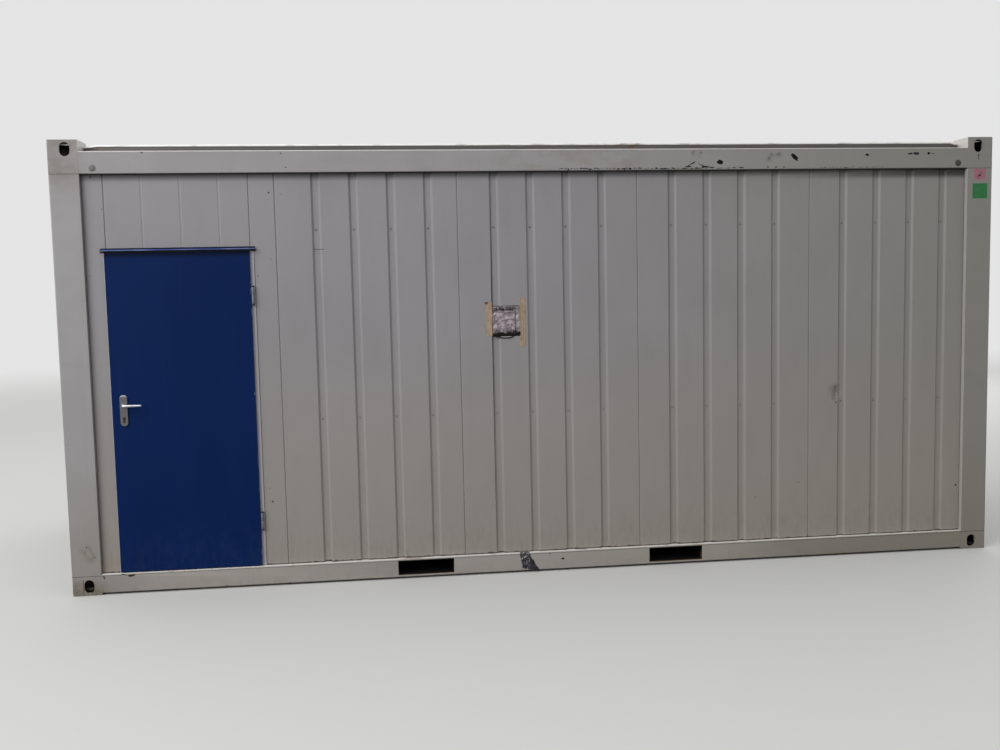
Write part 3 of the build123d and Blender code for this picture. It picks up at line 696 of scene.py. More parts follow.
    def make(self) -> bpy.types.Material:
        """Builds the material.

        Returns:
            The finished material.
        """
        skin = self.surface()
        spread = skin.overlap(skin.cloud(75, 0.45, 0.8, (3, 3, 1), 5.0), 0.12)
        worn = skin.overlap(skin.lines("Z", (0.012, 0.130), 5), skin.cloud(30, 0.56, 0.7, (4, 4, 1), 5.0), 0.5)
        weld = skin.overlap(skin.lines("X", (-2.9605,), 2.4), skin.rise("Z", 0.113, 0.100),
                            skin.rise("Y", -1.1, -1.2))
        seam = skin.either(skin.lines("Z", self.joints, 2.0), weld)
        colour = skin.coats(self.paint, *self.weather(skin, spread), *self.corner_grime(skin),
                            (self.washed, self.rain_washed(skin)), *self.marks(skin), (self.rust, worn),
                            (self.joint, skin.overlap(seam, 0.8)), (self.cavity, self.inside_castings(skin)))
        normal = skin.relief((skin.cloud(3, 0.3, 0.7, detail=0.0), 0.03), (skin.cloud(160, 0.2, 0.8), 0.5),
                             (worn, -0.15), (seam, -0.8))
        return skin.shell(colour, skin.vary(spread, 0.46, 0.75), Normal=normal, Specular_IOR_Level=0.3)


@dataclass(frozen=True)
class PaintedDoorSheet(Finish):
    """Zinc-coated door sheet, brushed and rolled with gentian blue enamel.

    The eye gets a deep blue with a soft satin sheen, faint roller texture and broad faded patches,
    painted shade under the drip rail, pale scuffs round the lever and dust towards the sill.
    """

    paint: str = "#08204E"
    faded: str = "#0A2353"
    dust: str = "#333E5A"
    scuff: str = "#66728C"
    # Painted shadow of the drip rail on the top of the leaf.
    soot: str = "#040711"
    top: float = 2.122
    sill: float = 0.136
    edges: Spot = (-2.735, -1.867)
    handled: tuple[Place, ...] = ((-2.60, -1.210, 1.18), (-2.62, -1.165, 1.18))

    def make(self) -> bpy.types.Material:
        """Builds the material.

        Returns:
            The finished material.
        """
        skin = self.surface()
        broad = skin.cloud(380, 0.35, 0.72, (1, 1, 2))
        runs = skin.overlap(skin.cloud(14, 0.55, 0.8, (1, 1, 45), 2.0), 0.06)
        dust = skin.overlap(skin.cloud(40, 0.35, 0.75, (1, 1, 2), 5.0),
                            skin.rise("Z", self.sill + 0.4, self.sill), 0.16)
        scuffs = skin.overlap(skin.cloud(7, 0.68, 0.76, (6, 6, 1), 3.0), skin.near(self.handled, 200), 0.35)
        chipped = skin.overlap(skin.lines("X", self.edges, 5), skin.cloud(24, 0.58, 0.68, (1, 1, 3), 5.0), 0.5)
        # Painted shadow under the drip rail.
        shade = skin.overlap(skin.rise("Z", self.top - 0.045, self.top - 0.004), 0.85)
        colour = skin.coats(self.paint, (self.faded, broad), (self.dust, runs), (self.dust, dust),
                            (self.scuff, scuffs), (self.scuff, chipped), (self.soot, shade))
        normal = skin.relief((skin.cloud(420, 0.2, 0.8, (1, 1, 1.8), 1.0), 1.2),
                             (skin.cloud(2.2, 0.3, 0.7, (1, 1, 2), 0.0), 0.02))
        return skin.shell(colour, skin.vary(dust, 0.42, 0.6), Normal=normal, Specular_IOR_Level=0.07)


@dataclass(frozen=True)
class PaintedDripRail(Finish):
    """Folded steel drip rail, painted with the door, darker as painted shade, with a painted highlight on its
    lip.

    The eye gets a dark navy edge with a pale blue line below it.
    """

    # Darker navy than the door: painted shade.
    paint: str = "#0C1638"
    # Painted highlight on the lip.
    lip: str = "#44548C"
    # Lighter patches in the painted highlight.
    bare: str = "#6E7AA4"

    def make(self) -> bpy.types.Material:
        """Builds the material.

        Returns:
            The finished material.
        """
        skin = self.surface()
        # Painted highlight on the lower front of the lip, with lighter patches in it.
        lip = skin.overlap(skin.rise("Y", -1.212, -1.2155), skin.rise("Z", 2.1395, 2.1370),
                           skin.rise("Z", 2.1295, 2.1315))
        rubbed = skin.overlap(lip, skin.cloud(45, 0.42, 0.7, (4, 1, 1), 4.0))
        colour = skin.coats(self.paint, (self.lip, lip), (self.bare, rubbed))
        normal = skin.relief((skin.cloud(90, 0.2, 0.8, (3, 1, 1)), 0.6))
        return skin.shell(colour, 0.6, Normal=normal, Specular_IOR_Level=0.08)


@dataclass(frozen=True)
class GalvanisedRoofSheet(Finish):
    """Hot-dip galvanised steel sheet, left bare on the roof for years.

    The eye gets dull grey zinc with faint spangle, brown-grey dust lying on it, a dark side of dirt and
    painted shade, and rust where the sheet was cut.
    """

    zinc: str = "#8F9090"
    bright: str = "#A2A3A3"
    dust: str = "#7F776E"
    # Dirt and painted shade on the side of the sheet.
    settled: str = "#5B5855"
    rust: str = "#6A4230"
    spangle_mm: float = 14
    cut_ends: tuple[float, ...] = (-2.80, 2.80, 0.55)
    cut_side: float = 1.17
    cut_level: float = 2.75

    def make(self) -> bpy.types.Material:
        """Builds the material.

        Returns:
            The finished material.
        """
        skin = self.surface()
        shade = skin.grains(self.spangle_mm)[0]
        dust = skin.overlap(skin.cloud(300, 0.15, 0.85, detail=6.0), 0.8)
        # The side of the sheet is darker: dirt with painted shade.
        side = skin.overlap(skin.rise("Z", 2.770, 2.762), skin.rise("Z", 2.60, 2.65))
        cuts = [(x, y, self.cut_level) for x in self.cut_ends for y in (-self.cut_side, self.cut_side)]
        rust = skin.overlap(skin.near(cuts, 110), skin.cloud(22, 0.4, 0.62, detail=5.0), 0.8)
        colour = skin.coats(self.zinc, (self.bright, skin.overlap(shade, 0.6)), (self.dust, dust),
                            (self.settled, skin.overlap(side, 0.95)), (self.rust, rust))
        normal = skin.relief((shade, 0.01), (skin.cloud(300, 0.2, 0.8, detail=1.0), 1.0))
        return skin.shell(colour, skin.vary(dust, 0.4, 0.75), Metallic=0.45, Normal=normal)


@dataclass(frozen=True)
class FoldedZincEdge(Finish):
    """The folded hem of the galvanised roof sheet, a pale edge painted near white as a highlight.

    The eye gets a thin bright metal line with a few dull patches.
    """

    # Near white: the pale hem with a painted highlight.
    zinc: str = "#F0F0EE"
    dull: str = "#B9B8B5"
    rust: str = "#7C4630"
    bleeding: tuple[Place, ...] = ((0.50, -1.176, 2.765), (0.60, -1.176, 2.765), (-0.4, 1.176, 2.765))

    def make(self) -> bpy.types.Material:
        """Builds the material.

        Returns:
            The finished material.
        """
        skin = self.surface()
        patches = skin.overlap(skin.cloud(60, 0.5, 0.7, (2, 2, 1), 4.0), 0.7)
        bled = skin.overlap(skin.near(self.bleeding, 75), skin.cloud(20, 0.35, 0.6, (2, 1, 1), 4.0), 0.7)
        colour = skin.coats(self.zinc, (self.dull, patches), (self.rust, bled))
        return skin.shell(colour, 0.55, Normal=skin.relief((skin.cloud(70, 0.2, 0.8), 0.4)))


@dataclass(frozen=True)
class PocketSteel(Finish):
    """Fork pocket tube, painted inside once and worn bare by forks.

    The eye gets near-black grime with orange rust on the lips.
    """

    grime: str = "#070606"
    rust: str = "#4E3020"
    orange: str = "#6E432A"
    paint: str = "#121010"
    cheeks: tuple[Place, ...] = ((1.008, -1.219, 0.055), (-1.008, 1.219, 0.055))

    def make(self) -> bpy.types.Material:
        """Builds the material.

        Returns:
            The finished material.
        """
        skin = self.surface()
        lip = skin.either(skin.rise("Y", -1.209, -1.2185), skin.rise("Y", 1.209, 1.2185))
        scraped = skin.overlap(lip, skin.cloud(20, 0.35, 0.6, (2, 1, 1), 5.0),
                               skin.rise("Z", 0.112, 0.030), 0.9)
        colour = skin.coats(self.grime, (self.paint, skin.overlap(skin.cloud(90, 0.5, 0.7), 0.4)),
                            (self.rust, scraped), (self.orange, skin.overlap(skin.near(self.cheeks, 38), 0.7)))
        return skin.shell(colour, 0.9, Normal=skin.relief((skin.cloud(9, 0.3, 0.7), 0.25)),
                          Specular_IOR_Level=0.15)


@dataclass(frozen=True)
class Chipboard(Finish):
    """Flooring chipboard, hot pressed from softwood flakes and left raw.

    The eye gets straw-coloured flakes of a few millimetres with darker ones between.
    """

    wood: str = "#B29A6E"
    pale: str = "#CDB88C"
    dark: str = "#866B42"
    flake_mm: float = 6

    def make(self) -> bpy.types.Material:
        """Builds the material.

        Returns:
            The finished material.
        """
        skin = self.surface()
        shade, kind = skin.grains(self.flake_mm)[:2]
        colour = skin.coats(self.wood, (self.pale, shade), (self.dark, skin.between(kind, 0.7, 0.95)))
        return skin.shell(colour, 0.85, Normal=skin.relief((shade, 0.15)))


@dataclass(frozen=True)
class SheetVinyl(Finish):
    """Contract sheet vinyl, calendered with coloured chips through it.

    The eye gets a mid grey floor with small pale and dark chips and a trodden path at the door.
    """

    ground: str = "#7C7E80"
    pale: str = "#979998"
    dark: str = "#595B5E"
    mud: str = "#6A6156"
    chip_mm: float = 7
    doorway: Place = (-2.3, -1.1, 0.155)

    def make(self) -> bpy.types.Material:
        """Builds the material.

        Returns:
            The finished material.
        """
        skin = self.surface()
        pale, dark = skin.grains(self.chip_mm)[:2]
        mud = skin.overlap(skin.near([self.doorway], 900), skin.cloud(60, 0.35, 0.7, detail=5.0), 0.5)
        colour = skin.coats(self.ground, (self.pale, skin.between(pale, 0.75, 0.85)),
                            (self.dark, skin.between(dark, 0.8, 0.9)), (self.mud, mud))
        return skin.shell(colour, 0.48, Normal=skin.relief((skin.cloud(1.6, 0.3, 0.7), 0.02)))


@dataclass(frozen=True)
class CoatedLiningBoard(Finish):
    """Wall and ceiling board, pressed with a white melamine film.

    The eye gets a smooth off-white with a fine pore texture, straight joints every 1160 mm and
    faint marks.
    """

    film: str = "#D9D7D0"
    marks: str = "#BFBAB0"
    gap: str = "#8E8A82"
    pitch: float = 1.16

    def make(self) -> bpy.types.Material:
        """Builds the material.

        Returns:
            The finished material.
        """
        skin = self.surface()
        marks = skin.overlap(skin.cloud(130, 0.5, 0.8, detail=5.0), 0.4)
        joints = skin.lines("X", [self.pitch * (step + 0.5) for step in range(-3, 3)], 1.5)
        colour = skin.coats(self.film, (self.marks, marks), (self.gap, skin.overlap(joints, 0.8)))
        return skin.shell(colour, 0.4, Normal=skin.relief((skin.cloud(2, 0.4, 0.6, (1, 1, 8)), 0.02),
                                                          (joints, -0.8)))


@dataclass(frozen=True)
class BrushedAluminium(Finish):
    """Aluminium strip, brushed along its length and left mill bright.

    The eye gets fine streaks along the strip and a broad, soft highlight. The brush lines are drawn
    1.5 mm apart so that they show.
    """

    metal: str = "#C4C6C8"
    dull: str = "#9A9A98"
    brush_mm: float = 1.5

    def make(self) -> bpy.types.Material:
        """Builds the material.

        Returns:
            The finished material.
        """
        skin = self.surface()
        brush = skin.cloud(self.brush_mm, 0.3, 0.7, (60, 1, 60), 2.0)
        colour = skin.coats(self.metal, (self.dull, skin.overlap(skin.cloud(60, 0.45, 0.75), 0.6)))
        return skin.shell(colour, skin.vary(brush, 0.28, 0.46), Metallic=1.0,
                          Normal=skin.relief((brush, 0.02)))


@dataclass(frozen=True)
class SatinAnodisedAluminium(Finish):
    """Pressure die-cast aluminium, tumbled and anodised silver.

    The eye gets a bright, whitish satin metal that hands have dulled in places, with a painted highlight
    along the head of the plates.
    """

    metal: str = "#E0E2E6"
    handled: str = "#B3B2AE"
    # Painted highlight at the head of the plates.
    rim: str = "#D4D6DC"
    rim_levels: Spot = (1.236, 1.243)

    def make(self) -> bpy.types.Material:
        """Builds the material.

        Returns:
            The finished material.
        """
        skin = self.surface()
        handled = skin.overlap(skin.cloud(30, 0.42, 0.75, detail=4.0), 0.6)
        # Painted highlight in a band at the head of the plates.
        colour = skin.coats(self.metal, (self.handled, handled),
                            (self.rim, skin.overlap(skin.rise("Z", *self.rim_levels), 0.9)))
        return skin.shell(colour, skin.vary(handled, 0.3, 0.48), Metallic=0.75,
                          Normal=skin.relief((skin.cloud(1.2, 0.3, 0.7), 0.01)))


@dataclass(frozen=True)
class NickelledBrass(Finish):
    """Free-cutting brass, turned and nickel plated, with the plating rubbed through.

    The eye gets a greyish brass with patches of a dark brown film.
    """

    plate: str = "#544D40"
    worn: str = "#2C2822"

    def make(self) -> bpy.types.Material:
        """Builds the material.

        Returns:
            The finished material.
        """
        skin = self.surface()
        worn = skin.cloud(5, 0.4, 0.65, detail=4.0)
        return skin.shell(skin.coats(self.plate, (self.worn, worn)), 0.36, Metallic=0.9,
                          Normal=skin.relief((worn, 0.02)))


@dataclass(frozen=True)
class ZincPlatedSteel(MottledFinish):
    """Rolled steel knuckles, electroplated with zinc and clear passivated.

    The eye gets a light cool grey, dulled, with brown where the pin weeps.
    """

    ground: str = "#74757C"
    blotch: str = "#3F3835"
    blotch_mm: float = 12
    blotch_low: float = 0.52
    blotch_high: float = 0.72
    stretch: Place = (1, 1, 3)
    detail: float = 4.0
    share: float = 0.7
    grit_mm: float = 4
    grit_height_mm: float = 0.03
    roughness: float = 0.5
    metallic: float = 0.35


@dataclass(frozen=True)
class DriedGrease(MottledFinish):
    """Hinge grease with dust baked into it by the sun.

    The eye gets a matt brown-black ring with a slight lumpy texture.
    """

    ground: str = "#2B2A28"
    blotch: str = "#4A4138"
    blotch_mm: float = 4
    share: float = 0.6
    grit_height_mm: float = 0.2


@dataclass(frozen=True)
class CrumpledFoil(Finish):
    """Aluminium-faced foil, crushed by hand and weathered to a pinkish grey.

    The eye gets sharp dull facets, with dark smudges along the creases, painted shade in the gaps
    along the top and painted shade that darkens the top and the bottom of the foil.
    """

    foil: str = "#AFA3AA"
    film: str = "#857A81"
    # Dark smudges, and painted shade.
    smudge: str = "#262221"
    plain: str = "#999495"
    clean_side: float = -0.214
    top: float = 1.746

    def make(self) -> bpy.types.Material:
        """Builds the material.

        Returns:
            The finished material.
        """
        skin = self.surface()
        film = skin.cloud(28, 0.35, 0.65, detail=5.0)
        left = skin.rise("X", self.clean_side + 0.006, self.clean_side - 0.006)
        right = skin.rise("X", self.clean_side, self.clean_side + 0.006)
        # Dark spots along the top: painted shade in the gaps of the torn foil.
        band = skin.lines("Z", (self.top - 0.022,), 15)
        smudge = skin.overlap(skin.cloud(15, 0.43, 0.52, detail=4.0), band, left)
        creases = skin.overlap(skin.cloud(9, 0.58, 0.74, detail=5.0), left, 0.6)
        edge = skin.overlap(skin.lines("X", (self.clean_side,), 4.5),
                            skin.cloud(30, 0.3, 0.45, (1, 1, 3)), 0.85)
        # Painted shade: darker towards the top and the bottom of the foil.
        shade = skin.either(skin.overlap(skin.rise("Z", self.top - 0.130, self.top - 0.170), 0.45),
                            skin.overlap(skin.rise("Z", self.top - 0.055, self.top - 0.030), 0.30))
        colour = skin.coats(self.foil, (self.film, film), (self.plain, right), (self.smudge, shade),
                            (self.smudge, creases), (self.smudge, smudge), (self.smudge, edge))
        return skin.shell(colour, 0.46, Metallic=0.4,
                          Normal=skin.relief((skin.cloud(7, 0.3, 0.7, detail=4.0), 0.7)))


@dataclass(frozen=True)
class BlackenedSealant(MottledFinish):
    """Butyl sealant tape, pressed in by hand and gone hard.

    The eye gets a matt black with dust in its folds.
    """

    ground: str = "#0E0D0C"
    blotch: str = "#3A3531"
    blotch_mm: float = 12
    detail: float = 5.0
    share: float = 0.5
    grit_mm: float = 6
    grit_height_mm: float = 0.5
    specular: float = 0.2


@dataclass(frozen=True)
class MaskingTape(Finish):
    """Crepe paper masking tape, put on by hand and bleached by weather.

    The eye gets an ochre strip with fine cross crepe, darker patches of glue, brown folds and a dark
    curled corner. The crepe is drawn 2 mm apart, twice its real spacing, so that it shows.
    """

    paper: str = "#A08A76"
    bleached: str = "#AC9680"
    glue: str = "#715B47"
    thin: str = "#938B88"
    dirt: str = "#2E2721"
    crepe_mm: float = 2
    folds: tuple[float, ...] = (-0.176, -0.163, -0.1505)
    curl: Place = (-0.398, -1.196, 1.764)

    def make(self) -> bpy.types.Material:
        """Builds the material.

        Returns:
            The finished material.
        """
        skin = self.surface()
        crepe = skin.cloud(self.crepe_mm, 0.35, 0.65, (12, 12, 1), 1.0)
        folds = skin.overlap(skin.lines("X", self.folds, 2.2), skin.cloud(40, 0.3, 0.5, (1, 1, 3)), 0.8)
        thin = skin.overlap(skin.rise("X", -0.396, -0.410), skin.cloud(20, 0.2, 0.5, (1, 1, 2), 4.0), 0.9)
        colour = skin.coats(self.paper, (self.bleached, skin.cloud(30, 0.4, 0.7)), (self.thin, thin),
                            (self.glue, skin.overlap(skin.cloud(14, 0.55, 0.72, (1, 1, 3), 5.0), 0.7)),
                            (self.glue, folds), (self.dirt, skin.near([self.curl], 14)))
        return skin.shell(colour, 0.72, Normal=skin.relief((crepe, 0.12), (folds, -0.6)))


@dataclass(frozen=True)
class PaperLabel(Finish):
    """Coated paper label, printed in one flat colour and left bare.

    The eye gets a matt colour with sun fading and pale rubbed patches.
    """

    ink: str
    faded: str
    rubbed: str = "#B9B4AE"

    def make(self) -> bpy.types.Material:
        """Builds the material.

        Returns:
            The finished material.
        """
        skin = self.surface()
        faded = skin.overlap(skin.cloud(24, 0.42, 0.75, detail=5.0), 0.6)
        rubbed = skin.overlap(skin.cloud(6, 0.66, 0.74), 0.5)
        colour = skin.coats(self.ink, (self.faded, faded), (self.rubbed, rubbed))
        return skin.shell(colour, 0.55, Normal=skin.relief((skin.cloud(18, 0.3, 0.7), 0.2)))


@dataclass(frozen=True)
class MouldedCap(MottledFinish):
    """Polyethylene drain cap, injection moulded.

    The eye gets a waxy matt plastic, bleached grey on the sunny corner and near black on the other.
    """

    ground: str = "#6A6869"
    blotch: str = "#4A453E"
    dark: str = "#34332F"
    blotch_mm: float = 8
    blotch_low: float = 0.45
    blotch_high: float = 0.75
    detail: float = 4.0
    share: float = 0.5
    grit_mm: float = 3
    grit_height_mm: float = 0.05
    roughness: float = 0.5

    def layers(self, skin: Surface) -> list[Coat]:
        """The dark right half under the blotches."""
        return [(self.dark, skin.rise("X", -0.1, 0.1)), *super().layers(skin)]


@dataclass(frozen=True)
class RubberSeal(MottledFinish):
    """Extruded EPDM rubber seal.

    The eye gets a soft black with a grey bloom.
    """

    ground: str = "#1C1C1D"
    blotch: str = "#454545"
    blotch_mm: float = 25
    blotch_low: float = 0.45
    share: float = 0.5
    grit_mm: float = 3
    grit_height_mm: float = 0.03
    roughness: float = 0.6


@dataclass(frozen=True)
class RustyChip(MottledFinish):
    """Bare steel in a paint chip, rusted by rain.

    The eye gets a small dark brown to orange scab.
    """

    ground: str = "#231A15"
    blotch: str = "#4E3223"
    blotch_mm: float = 4
    blotch_low: float = 0.45
    blotch_high: float = 0.7
    detail: float = 4.0
    roughness: float = 0.85


@dataclass(frozen=True)
class ScrapedMark(MottledFinish):
    """Paint scraped through to the primer and dirtied.

    The eye gets a near-black smear with ragged ends, bluish on the right of the rail.
    """

    ground: str = "#141213"
    blotch: str = "#4A443F"
    bluish: str = "#2B3342"
    bluish_spots: tuple[Spot, ...] = ((2.47, 2.692),)
    blotch_mm: float = 5
    blotch_low: float = 0.58
    blotch_high: float = 0.75
    stretch: Place = (3, 1, 1)
    share: float = 0.6
    grit_height_mm: float = 0.05
    roughness: float = 0.8
    specular: float = 0.15

    def layers(self, skin: Surface) -> list[Coat]:
        """The bluish smear over the blotches."""
        return [*super().layers(skin), (self.bluish, skin.patches(-SIDE, self.bluish_spots, 70))]


@dataclass(frozen=True)
class TornWrapping(Finish):
    """Dark polythene wrapping, torn off and stuck to the rail.

    The eye gets a crinkled dark plastic with white worn specks and a dull sheen.
    """

    film: str = "#252328"
    bloomed: str = "#3E3B43"
    specks: str = "#C9C7C4"

    def make(self) -> bpy.types.Material:
        """Builds the material.

        Returns:
            The finished material.
        """
        skin = self.surface()
        specks = skin.overlap(skin.cloud(9, 0.58, 0.64, (1, 1, 1.6), 4.0), skin.rise("X", -0.135, -0.195))
        colour = skin.coats(self.film, (self.bloomed, skin.cloud(30, 0.42, 0.62)), (self.specks, specks))
        return skin.shell(colour, 0.5, Normal=skin.relief((skin.cloud(9, 0.3, 0.7, detail=4.0), 0.6)),
                          Specular_IOR_Level=0.25)


class PaintShop:
    """Makes each finish once and hands out its material."""

    def __init__(self) -> None:
        """Starts with no material made."""
        self.made: dict[Finish, bpy.types.Material] = {}

    def material(self, finish: Finish) -> bpy.types.Material:
        """The material of a finish, made the first time it is asked for.

        Args:
            finish: The finish.

        Returns:
            Its material.
        """
        if finish not in self.made:
            self.made[finish] = finish.make()
        return self.made[finish]


@dataclass
class Piece:
    """One piece of the scene while its mesh is made."""

    name: str
    body: Body
    finishes: tuple[Finish, ...]
    slot: Slot | None = None
    stands_for: tuple[str, ...] = ()
    smooth_deg: float = 40.0
    mesh: bmesh.types.BMesh = field(default_factory=bmesh.new)

    def loft(self, rings: Sequence[Sequence[Vector]], finish: int = 0, looped: bool = False) -> None:
        """Joins closed rings of equal length by faces.

        Args:
            rings: The rings in order.
            finish: Number of the finish.
            looped: True where the last ring meets the first, False where both ends are capped.
        """
        made = [[self.mesh.verts.new(point) for point in ring] for ring in rings]
        faces = []
        for low, high in zip(made, made[1:] + made[:1] if looped else made[1:]):
            for index, start in enumerate(low):
                after = (index + 1) % len(low)
                faces.append(self.mesh.faces.new((start, low[after], high[after], high[index])))
        if not looped:
            faces += [self.mesh.faces.new(made[0][::-1]), self.mesh.faces.new(made[-1])]
        for face in faces:
            face.material_index = finish

    def turned(self, profile: Sequence[Spot], at: Vector, along: Vector, steps: int = 20,
               finish: int = 0) -> None:
        """Turns a profile round an axis.

        Args:
            profile: Radius and height in millimetres from the foot to the tip.
            at: Foot of the axis.
            along: Direction of the axis.
            steps: Sides of the turned form.
            finish: Number of the finish.
        """
        turn = along.to_track_quat("Z", "Y").to_matrix()
        self.loft([[at + turn @ Vector((x, y, height)) * MM for x, y in ellipse(radius, radius, steps)]
                   for radius, height in profile], finish)

    def swept(self, path: Sequence[Vector], section: Sequence[Spot], up: Vector, looped: bool = False,
              finish: int = 0) -> None:
        """Sweeps a section along a path with mitred corners.

        Args:
            path: Points of the path.
            section: Points of the section in millimetres: to the side of the path and up.
            up: Direction that stays up in the section.
            looped: True where the path closes on itself.
            finish: Number of the finish.
        """
        rings = []
        count = len(path)
        for index, point in enumerate(path):
            before = path[index - 1] if looped or index else point
            after = path[(index + 1) % count] if looped or index < count - 1 else point
            into, out = (point - before), (after - point)
            into = into.normalized() if into.length else out.normalized()
            out = out.normalized() if out.length else into
            tangent = (into + out).normalized()
            side = tangent.cross(up).normalized()
            stretch = 1 / max(0.4, tangent.dot(out))
            rise = side.cross(tangent).normalized()
            rings.append([point + (side * a * stretch + rise * b) * MM for a, b in section])
        self.loft(rings, finish, looped)

    def sheet(self, rows: Sequence[Sequence[Vector]], thick_mm: float, finish: int = 0) -> None:
        """Makes a thin sheet from a grid of points and a second grid behind it.

        Args:
            rows: Rows of points of the side that looks towards -Y.
            thick_mm: How far the second grid lies behind it.
            finish: Number of the finish.
        """
        back = Vector((0, thick_mm * MM, 0))
        front = [[self.mesh.verts.new(point) for point in row] for row in rows]
        rear = [[self.mesh.verts.new(point + back) for point in row] for row in rows]
        high, wide = len(rows), len(rows[0])
        faces = []
        for i in range(high - 1):
            for j in range(wide - 1):
                for grid, order in ((front, 1), (rear, -1)):
                    four = (grid[i][j], grid[i][j + 1], grid[i + 1][j + 1], grid[i + 1][j])
                    faces.append(self.mesh.faces.new(four[::order]))
        rim = [(0, j) for j in range(wide)] + [(i, wide - 1) for i in range(1, high)]
        rim += [(high - 1, j) for j in range(wide - 2, -1, -1)] + [(i, 0) for i in range(high - 2, 0, -1)]
        for (i, j), (k, m) in zip(rim, rim[1:] + rim[:1]):
            faces.append(self.mesh.faces.new((front[i][j], rear[i][j], rear[k][m], front[k][m])))
        for face in faces:
            face.material_index = finish

    def flake(self, rng: random.Random, at: Place, size_mm: Spot, tilt_deg: float = 0.0,
              finish: int = 0, least: float = 0.62) -> None:
        """Puts a ragged flake on a face that looks towards -Y.

        Args:
            rng: Source of the ragged outline.
            at: Middle of the flake on the face.
            size_mm: Width and height.
            tilt_deg: Turn of the width from level.
            finish: Number of the finish.
            least: How far in the outline may be torn, as a share of its reach.
        """
        turn = Matrix.Rotation(math.radians(tilt_deg), 3, "Y")
        width, height = size_mm
        outline = []
        for across, up in ellipse(1, 1, 14):
            reach = rng.uniform(least, 1.0) * 0.5 * MM
            outline.append(turn @ Vector((width * reach * across, 0, height * reach * up)))
        # The foot lies in the face, the rim stands out and the top is smaller and stands out further.
        self.loft([[Vector(at) + point * share + Vector((0, depth_mm * MM, 0)) for point in outline]
                   for share, depth_mm in ((1.0, 0.2), (1.0, -0.15), (0.8, -0.3))], finish)

    def place(self, shop: PaintShop) -> None:
        """Turns the mesh into an object that rides on its body.

        Args:
            shop: Where the materials come from.
        """
        bmesh.ops.recalc_face_normals(self.mesh, faces=self.mesh.faces)
        mesh = bpy.data.meshes.new(self.name)
        self.mesh.to_mesh(mesh)
        self.mesh.free()
        for polygon in mesh.polygons:
            polygon.use_smooth = True
        mesh.set_sharp_from_angle(angle=math.radians(self.smooth_deg))
        for finish in self.finishes:
            mesh.materials.append(shop.material(finish))
        made = add_object(self.name, mesh)
        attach(made, self.body.value)
        if self.stands_for:
            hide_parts(*self.stands_for)
        LOG.info("made %s with %d faces", self.name, len(mesh.polygons))


@dataclass
class SubAssembly:
    """A part of the cabin that is dressed and detailed together."""

    shop: PaintShop
    nodes: dict[str, bpy.types.Object]

    def dress(self, finish: Finish, *names: str, edge_mm: float = 0.0) -> None:
        """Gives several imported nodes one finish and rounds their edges.

        Args:
            finish: The finish they get.
            *names: Names of the nodes.
            edge_mm: Width of the rounding, 0 for none.
        """
        for name in names:
            mesh = self.nodes[name].data
            mesh.materials.clear()
            mesh.materials.append(self.shop.material(finish))
            if edge_mm:
                self.round_edges(self.nodes[name], edge_mm)
            LOG.info("dressed %s in %s", name, type(finish).__name__)

    def round_edges(self, node: bpy.types.Object, edge_mm: float) -> None:
        """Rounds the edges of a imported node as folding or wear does, so that they catch the light.

        Flat faces are joined first, because thin triangles fold over when their corners move.

        Args:
            node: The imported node.
            edge_mm: Width of the rounding.
        """
        weld = node.modifiers.new("weld", "WELD")
        weld.merge_threshold = 0.05 * MM
        flat = node.modifiers.new("flat", "DECIMATE")
        flat.decimate_type = "DISSOLVE"
        flat.angle_limit = math.radians(0.5)
        bevel = node.modifiers.new("edge", "BEVEL")
        bevel.width = edge_mm * MM
        bevel.segments = 2
        bevel.limit_method = "ANGLE"
        bevel.angle_limit = math.radians(40)


